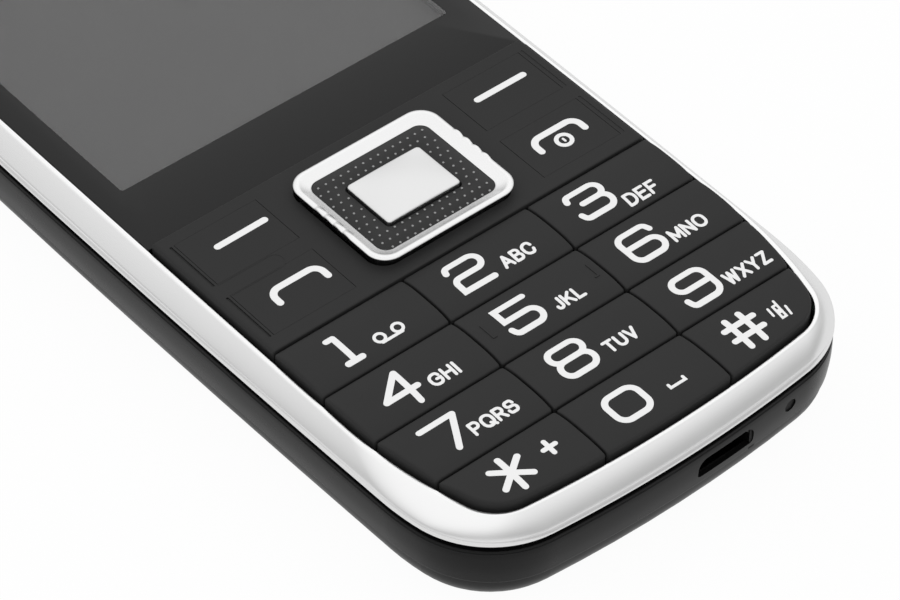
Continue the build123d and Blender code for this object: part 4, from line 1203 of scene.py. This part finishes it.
# %% Letters
letter_height = 1.43
letter_width = 0.34
letter_gap = 0.5
stem = ((0, 0), (0, 1.43))
head = ((0, 1.43), (0.9, 1.43, 0.38), (0.9, 0.65, 0.38), (0, 0.65))
bowl = [((0.6, 1.43), (side, 1.43, 0.56), (side, 0, 0.56), (0.6, 0)) for side in (0, 1.2)]
letter_marks = {
    "A": (1.1, ((0, 0), (0.55, 1.43)), ((0.55, 1.43), (1.1, 0)), ((0.2, 0.45), (0.9, 0.45))),
    "B": (
        0.92,
        stem,
        ((0, 1.43), (0.84, 1.43, 0.33), (0.84, 0.75, 0.33), (0, 0.75)),
        ((0, 0.75), (0.92, 0.75, 0.36), (0.92, 0, 0.36), (0, 0)),
    ),
    "C": (1.1, ((1.1, 1.0), (0.95, 1.43, 0.3), (0, 1.43, 0.6), (0, 0, 0.6), (0.95, 0, 0.3), (1.1, 0.43))),
    "D": (1.05, stem, ((0, 1.43), (1.05, 1.43, 0.6), (1.05, 0, 0.6), (0, 0))),
    "E": (0.92, ((0.9, 1.43), (0, 1.43), (0, 0), (0.92, 0)), ((0, 0.75), (0.84, 0.75))),
    "F": (0.86, ((0.86, 1.43), (0, 1.43), (0, 0)), ((0, 0.73), (0.76, 0.73))),
    "G": (
        1.12,
        (
            (1.08, 1.06),
            (0.95, 1.43, 0.3),
            (0, 1.43, 0.6),
            (0, 0, 0.6),
            (1.12, 0, 0.4),
            (1.12, 0.68),
            (0.68, 0.68),
        ),
    ),
    "H": (0.95, stem, ((0.95, 0), (0.95, 1.43)), ((0, 0.74), (0.95, 0.74))),
    "I": (0.0, stem),
    "J": (0.64, ((0.64, 1.43), (0.64, 0, 0.34), (0, 0, 0.28), (0, 0.38))),
    "K": (1.0, stem, ((0.95, 1.43), (0.08, 0.55)), ((0.4, 0.86), (1.0, 0))),
    "L": (0.85, ((0, 1.43), (0, 0), (0.85, 0))),
    "M": (1.2, stem, ((0, 1.43), (0.6, 0.25)), ((0.6, 0.25), (1.2, 1.43)), ((1.2, 1.43), (1.2, 0))),
    "N": (1.0, stem, ((0, 1.43), (1.0, 0)), ((1.0, 0), (1.0, 1.43))),
    "O": (1.2, *bowl),
    "P": (0.9, stem, head),
    "Q": (1.2, *bowl, ((0.75, 0.35), (1.2, -0.08))),
    "R": (0.95, stem, head, ((0.5, 0.66), (0.95, 0))),
    "S": (
        0.99,
        (
            (0.93, 1.06),
            (0.82, 1.43, 0.22),
            (0.03, 1.43, 0.33),
            (0.03, 0.76, 0.3),
            (0.99, 0.7, 0.3),
            (0.99, 0, 0.33),
            (0.1, 0, 0.22),
            (0, 0.36),
        ),
    ),
    "T": (1.05, ((0, 1.43), (1.05, 1.43)), ((0.52, 1.43), (0.52, 0))),
    "U": (1.0, ((0, 1.43), (0, 0, 0.48), (1.0, 0, 0.48), (1.0, 1.43))),
    "V": (1.05, ((0, 1.43), (0.52, 0)), ((0.52, 0), (1.05, 1.43))),
    "W": (
        1.5,
        ((0, 1.43), (0.38, 0)),
        ((0.38, 0), (0.75, 1.43)),
        ((0.75, 1.43), (1.12, 0)),
        ((1.12, 0), (1.5, 1.43)),
    ),
    "X": (1.05, ((0, 0), (1.05, 1.43)), ((0, 1.43), (1.05, 0))),
    "Y": (1.05, ((0, 1.43), (0.52, 0.66)), ((1.05, 1.43), (0.52, 0.66)), ((0.52, 0.66), (0.52, 0))),
    "Z": (1.05, ((0.05, 1.43), (1.0, 1.43)), ((1.0, 1.43), (0, 0)), ((0, 0), (1.05, 0))),
}
letters = {
    letter: (width, [bent(*marks) for marks in strokes])
    for letter, (width, *strokes) in letter_marks.items()
}
words = {
    "key_2": ("ABC", (0.64, 4.86), (-2.06, -0.26)),
    "key_3": ("DEF", (0.05, 4.2), (-3.2, -1.42)),
    "key_4": ("GHI", (1.0, 4.5), (-2.3, -0.56)),
    "key_5": ("JKL", (0.94, 4.6), (-2.1, -0.4)),
    "key_6": ("MNO", (0.0, 4.66), (-2.28, -0.46)),
    "key_7": ("PQRS", (-0.06, 5.66), (-2.0, -0.22)),
    "key_8": ("TUV", (0.84, 4.92), (-2.0, -0.3)),
    "key_9": ("WXYZ", (0.06, 5.9), (-2.56, -0.78)),
}


def word(text, span_x, span_y):
    """Strokes of a word stretched into its box; half a stroke's width stays free at each side."""
    half = letter_width / 2
    room = span_x[1] - span_x[0] - letter_width
    taken = sum(letters[letter][0] for letter in text)
    wide = room / (taken + letter_gap * (len(text) - 1))
    tall = (span_y[1] - span_y[0] - letter_width) / letter_height
    place = span_x[0] + half
    found = []
    for letter in text:
        width, lines = letters[letter]
        found += [line * (wide, tall) + (place, span_y[0] + half) for line in lines]
        place += (width + letter_gap) * wide
    return found


for row, names in enumerate(row_names):
    low_y, high_y = row_span(row)
    for column, name in enumerate(names):
        centre = ((column - 1) * column_pitch, line_y - row_pitch * (row + 0.5))
        outlines = [stroke(line + centre, digit_width) for line in digits[name]]
        outlines += [stroke(line + centre, width) for line, width in small_signs.get(name, ())]
        if name in words:
            outlines += [stroke(line + centre, letter_width) for line in word(*words[name])]
        lay_print(
            name + "_print", outlines, lambda spots: key_surface(spots, low_y, high_y, key_swell), name, None
        )

# %% [markdown]
# The four tabs carry lines and handsets. The end key's handset has a small ringed mark below its bar.
# Key 5 has two raised marks for the fingertip, and the moulding shows a faint finger-shaped outline
# between the two left tabs. These are the same strokes, only in the key's own plastic.

# %% Function prints and raised marks
tab_width = 0.78
handset_bend = 1.15
mark_centre, mark_radius, mark_width = (17.72, 4.9), 0.83, 0.48
touch_width, touch_rise = 0.2, 0.07
finger_width, finger_rise = 0.12, 0.02


def handset(low_x, high_x):
    """A handset drawn as a bar with two bent ends."""
    return bent((low_x, 4.98), (low_x, 6.83, handset_bend), (high_x, 6.83, handset_bend), (high_x, 4.98))


tab_lines = {
    "left_soft_key": [(bent((-19.6, 15.28), (-13.55, 15.35)), tab_width)],
    "call_key": [(handset(-19.66, -13.56), tab_width)],
    "right_soft_key": [(bent((14.75, 15.3), (21.0, 15.3)), tab_width)],
    "end_key": [
        (handset(14.74, 20.66), tab_width),
        (arc(mark_centre, mark_radius, 0, 180), mark_width),
        (arc(mark_centre, mark_radius, 180, 360), mark_width),
        (bent((17.72, 4.7), (17.72, 5.1)), 0.26),
    ],
}


def flat_surface(spots):
    """The crowned level of the function plate."""
    return key_surface(spots, function_low_y, function_top_y, 0.0)


for name, lines in tab_lines.items():
    outlines = [stroke(line + (0, line_y), width) for line, width in lines]
    lay_print(name + "_print", outlines, flat_surface, name, None)

touch_marks = (
    bent((-6.6, 1.3), (-6.6, -0.75), (-6.2, -0.75)),
    bent((7.15, 1.1), (7.15, -0.8), (6.75, -0.8)),
)
touch_centre = (0.0, line_y - row_pitch * 1.5)
lay_print(
    "touch_marks",
    [stroke(line + touch_centre, touch_width) for line in touch_marks],
    lambda spots: key_surface(spots, *row_span(1), key_swell),
    "key_5",
    "key_plastic",
    finishes["key_plastic"],
    touch_rise,
)
finger_line = bent((-22.9, 10.95), (-15.45, 10.95, 0.98), (-15.45, 8.9, 0.98), (-22.9, 8.9))
lay_print(
    "finger_outline",
    [stroke(finger_line + (0, line_y), finger_width)],
    flat_surface,
    "phone_body",
    "key_plastic",
    finishes["key_plastic"],
    finger_rise,
)

# %% [markdown]
# The phone lies on a plain pale floor in soft studio light. The world's light grows from the horizon
# upwards and is a little weaker in front, which gives the silver its gradient, and one large soft lamp
# adds to it from behind. The floor is lifted to white where the camera sees it, so that it fades into
# the background but keeps a little of the phone's shadow. Silver and glass show the same floor, a
# little darker, so that the bezel's edge stands out against it.

# %% Floor, world and lamps
floor_half = 3000.0
floor_drop = 0.02
floor_white = 0.96
mirrored_white = 0.78
floor = piece_from(
    "studio_floor",
    at_height(block_outline(-floor_half, floor_half, -floor_half, floor_half), -floor_drop),
    [(0, 1, 2, 3)],
    None,
)
floor_material = bpy.data.materials.new("studio_floor")
floor_material.use_nodes = True
tree = floor_material.node_tree
ground = tree.nodes["Principled BSDF"]
ground.inputs["Base Color"].default_value = (0.9, 0.9, 0.9, 1.0)
ground.inputs["Roughness"].default_value = 0.9
ground.inputs["Specular IOR Level"].default_value = 0.0


def sum_of(operation, *values):
    """The result of a maths node on two or three values."""
    inputs = {"_" + str(index): value for index, value in enumerate(values)}
    return node_in(tree, "Math", {"operation": operation}, **inputs).outputs[0]


rays = node_in(tree, "LightPath").outputs
seen = sum_of("MAXIMUM", rays["Is Camera Ray"], rays["Is Glossy Ray"])
seen = sum_of("MAXIMUM", seen, rays["Is Transmission Ray"])
lift = sum_of("MULTIPLY", seen, floor_white)
strength = sum_of("MULTIPLY_ADD", rays["Is Camera Ray"], 1.0 - mirrored_white, mirrored_white)
white = node_in(tree, "Emission", Color=(1.0, 1.0, 1.0, 1.0), Strength=strength)
blend = node_in(tree, "MixShader", _0=lift, _1=ground.outputs[0], _2=white.outputs[0])
tree.links.new(blend.outputs[0], tree.nodes["Material Output"].inputs["Surface"])
floor.data.materials.clear()
floor.data.materials.append(floor_material)

world = bpy.data.worlds.new("studio_world")
bpy.context.scene.world = world
world.use_nodes = True
tree = world.node_tree
sky = tree.nodes["Background"]
direction = node_in(tree, "TexCoord")
front_way = (0.3, -0.95, 0.0)
horizon_light, front_light = 0.5, 0.8


def blend_of(value, first, last, low, high):
    """A soft change from low to high while a value goes from first to last."""
    settings = {"interpolation_type": "SMOOTHSTEP"}
    blended = node_in(tree, "MapRange", settings, Value=value, _1=first, _2=last, _3=low, _4=high)
    return blended.outputs["Result"]


height = node_in(tree, "SeparateXYZ", Vector=direction.outputs["Generated"])
rising = blend_of(height.outputs["Z"], 0.0, 0.6, horizon_light, 1.0)
toward = node_in(
    tree, "VectorMath", {"operation": "DOT_PRODUCT"}, _0=direction.outputs["Generated"], _1=front_way
)
shade = blend_of(toward.outputs["Value"], 0.45, 0.95, 1.0, front_light)
tree.links.new(sum_of("MULTIPLY", rising, shade), sky.inputs["Color"])
sky.inputs["Strength"].default_value = 1.0


def soft_lamp(name, place, aim, size, power):
    """A square studio lamp with its place and size in millimetres."""
    lamp = bpy.data.lights.new(name, "AREA")
    lamp.shape = "RECTANGLE"
    lamp.size = size[0] * MM
    lamp.size_y = size[1] * MM
    lamp.energy = power
    stand = bpy.data.objects.new(name, lamp)
    bpy.context.scene.collection.objects.link(stand)
    stand.location = Vector(place) * MM
    stand.rotation_mode = "QUATERNION"
    stand.rotation_quaternion = (Vector(aim) - Vector(place)).to_track_quat("-Z", "Y")
    return stand


soft_lamp("back_softbox", (675.0, 630.0, 1185.0), (0.0, 0.0, 10.0), (800.0, 800.0), 0.12)
print("lamps", [light.name for light in bpy.data.lights])
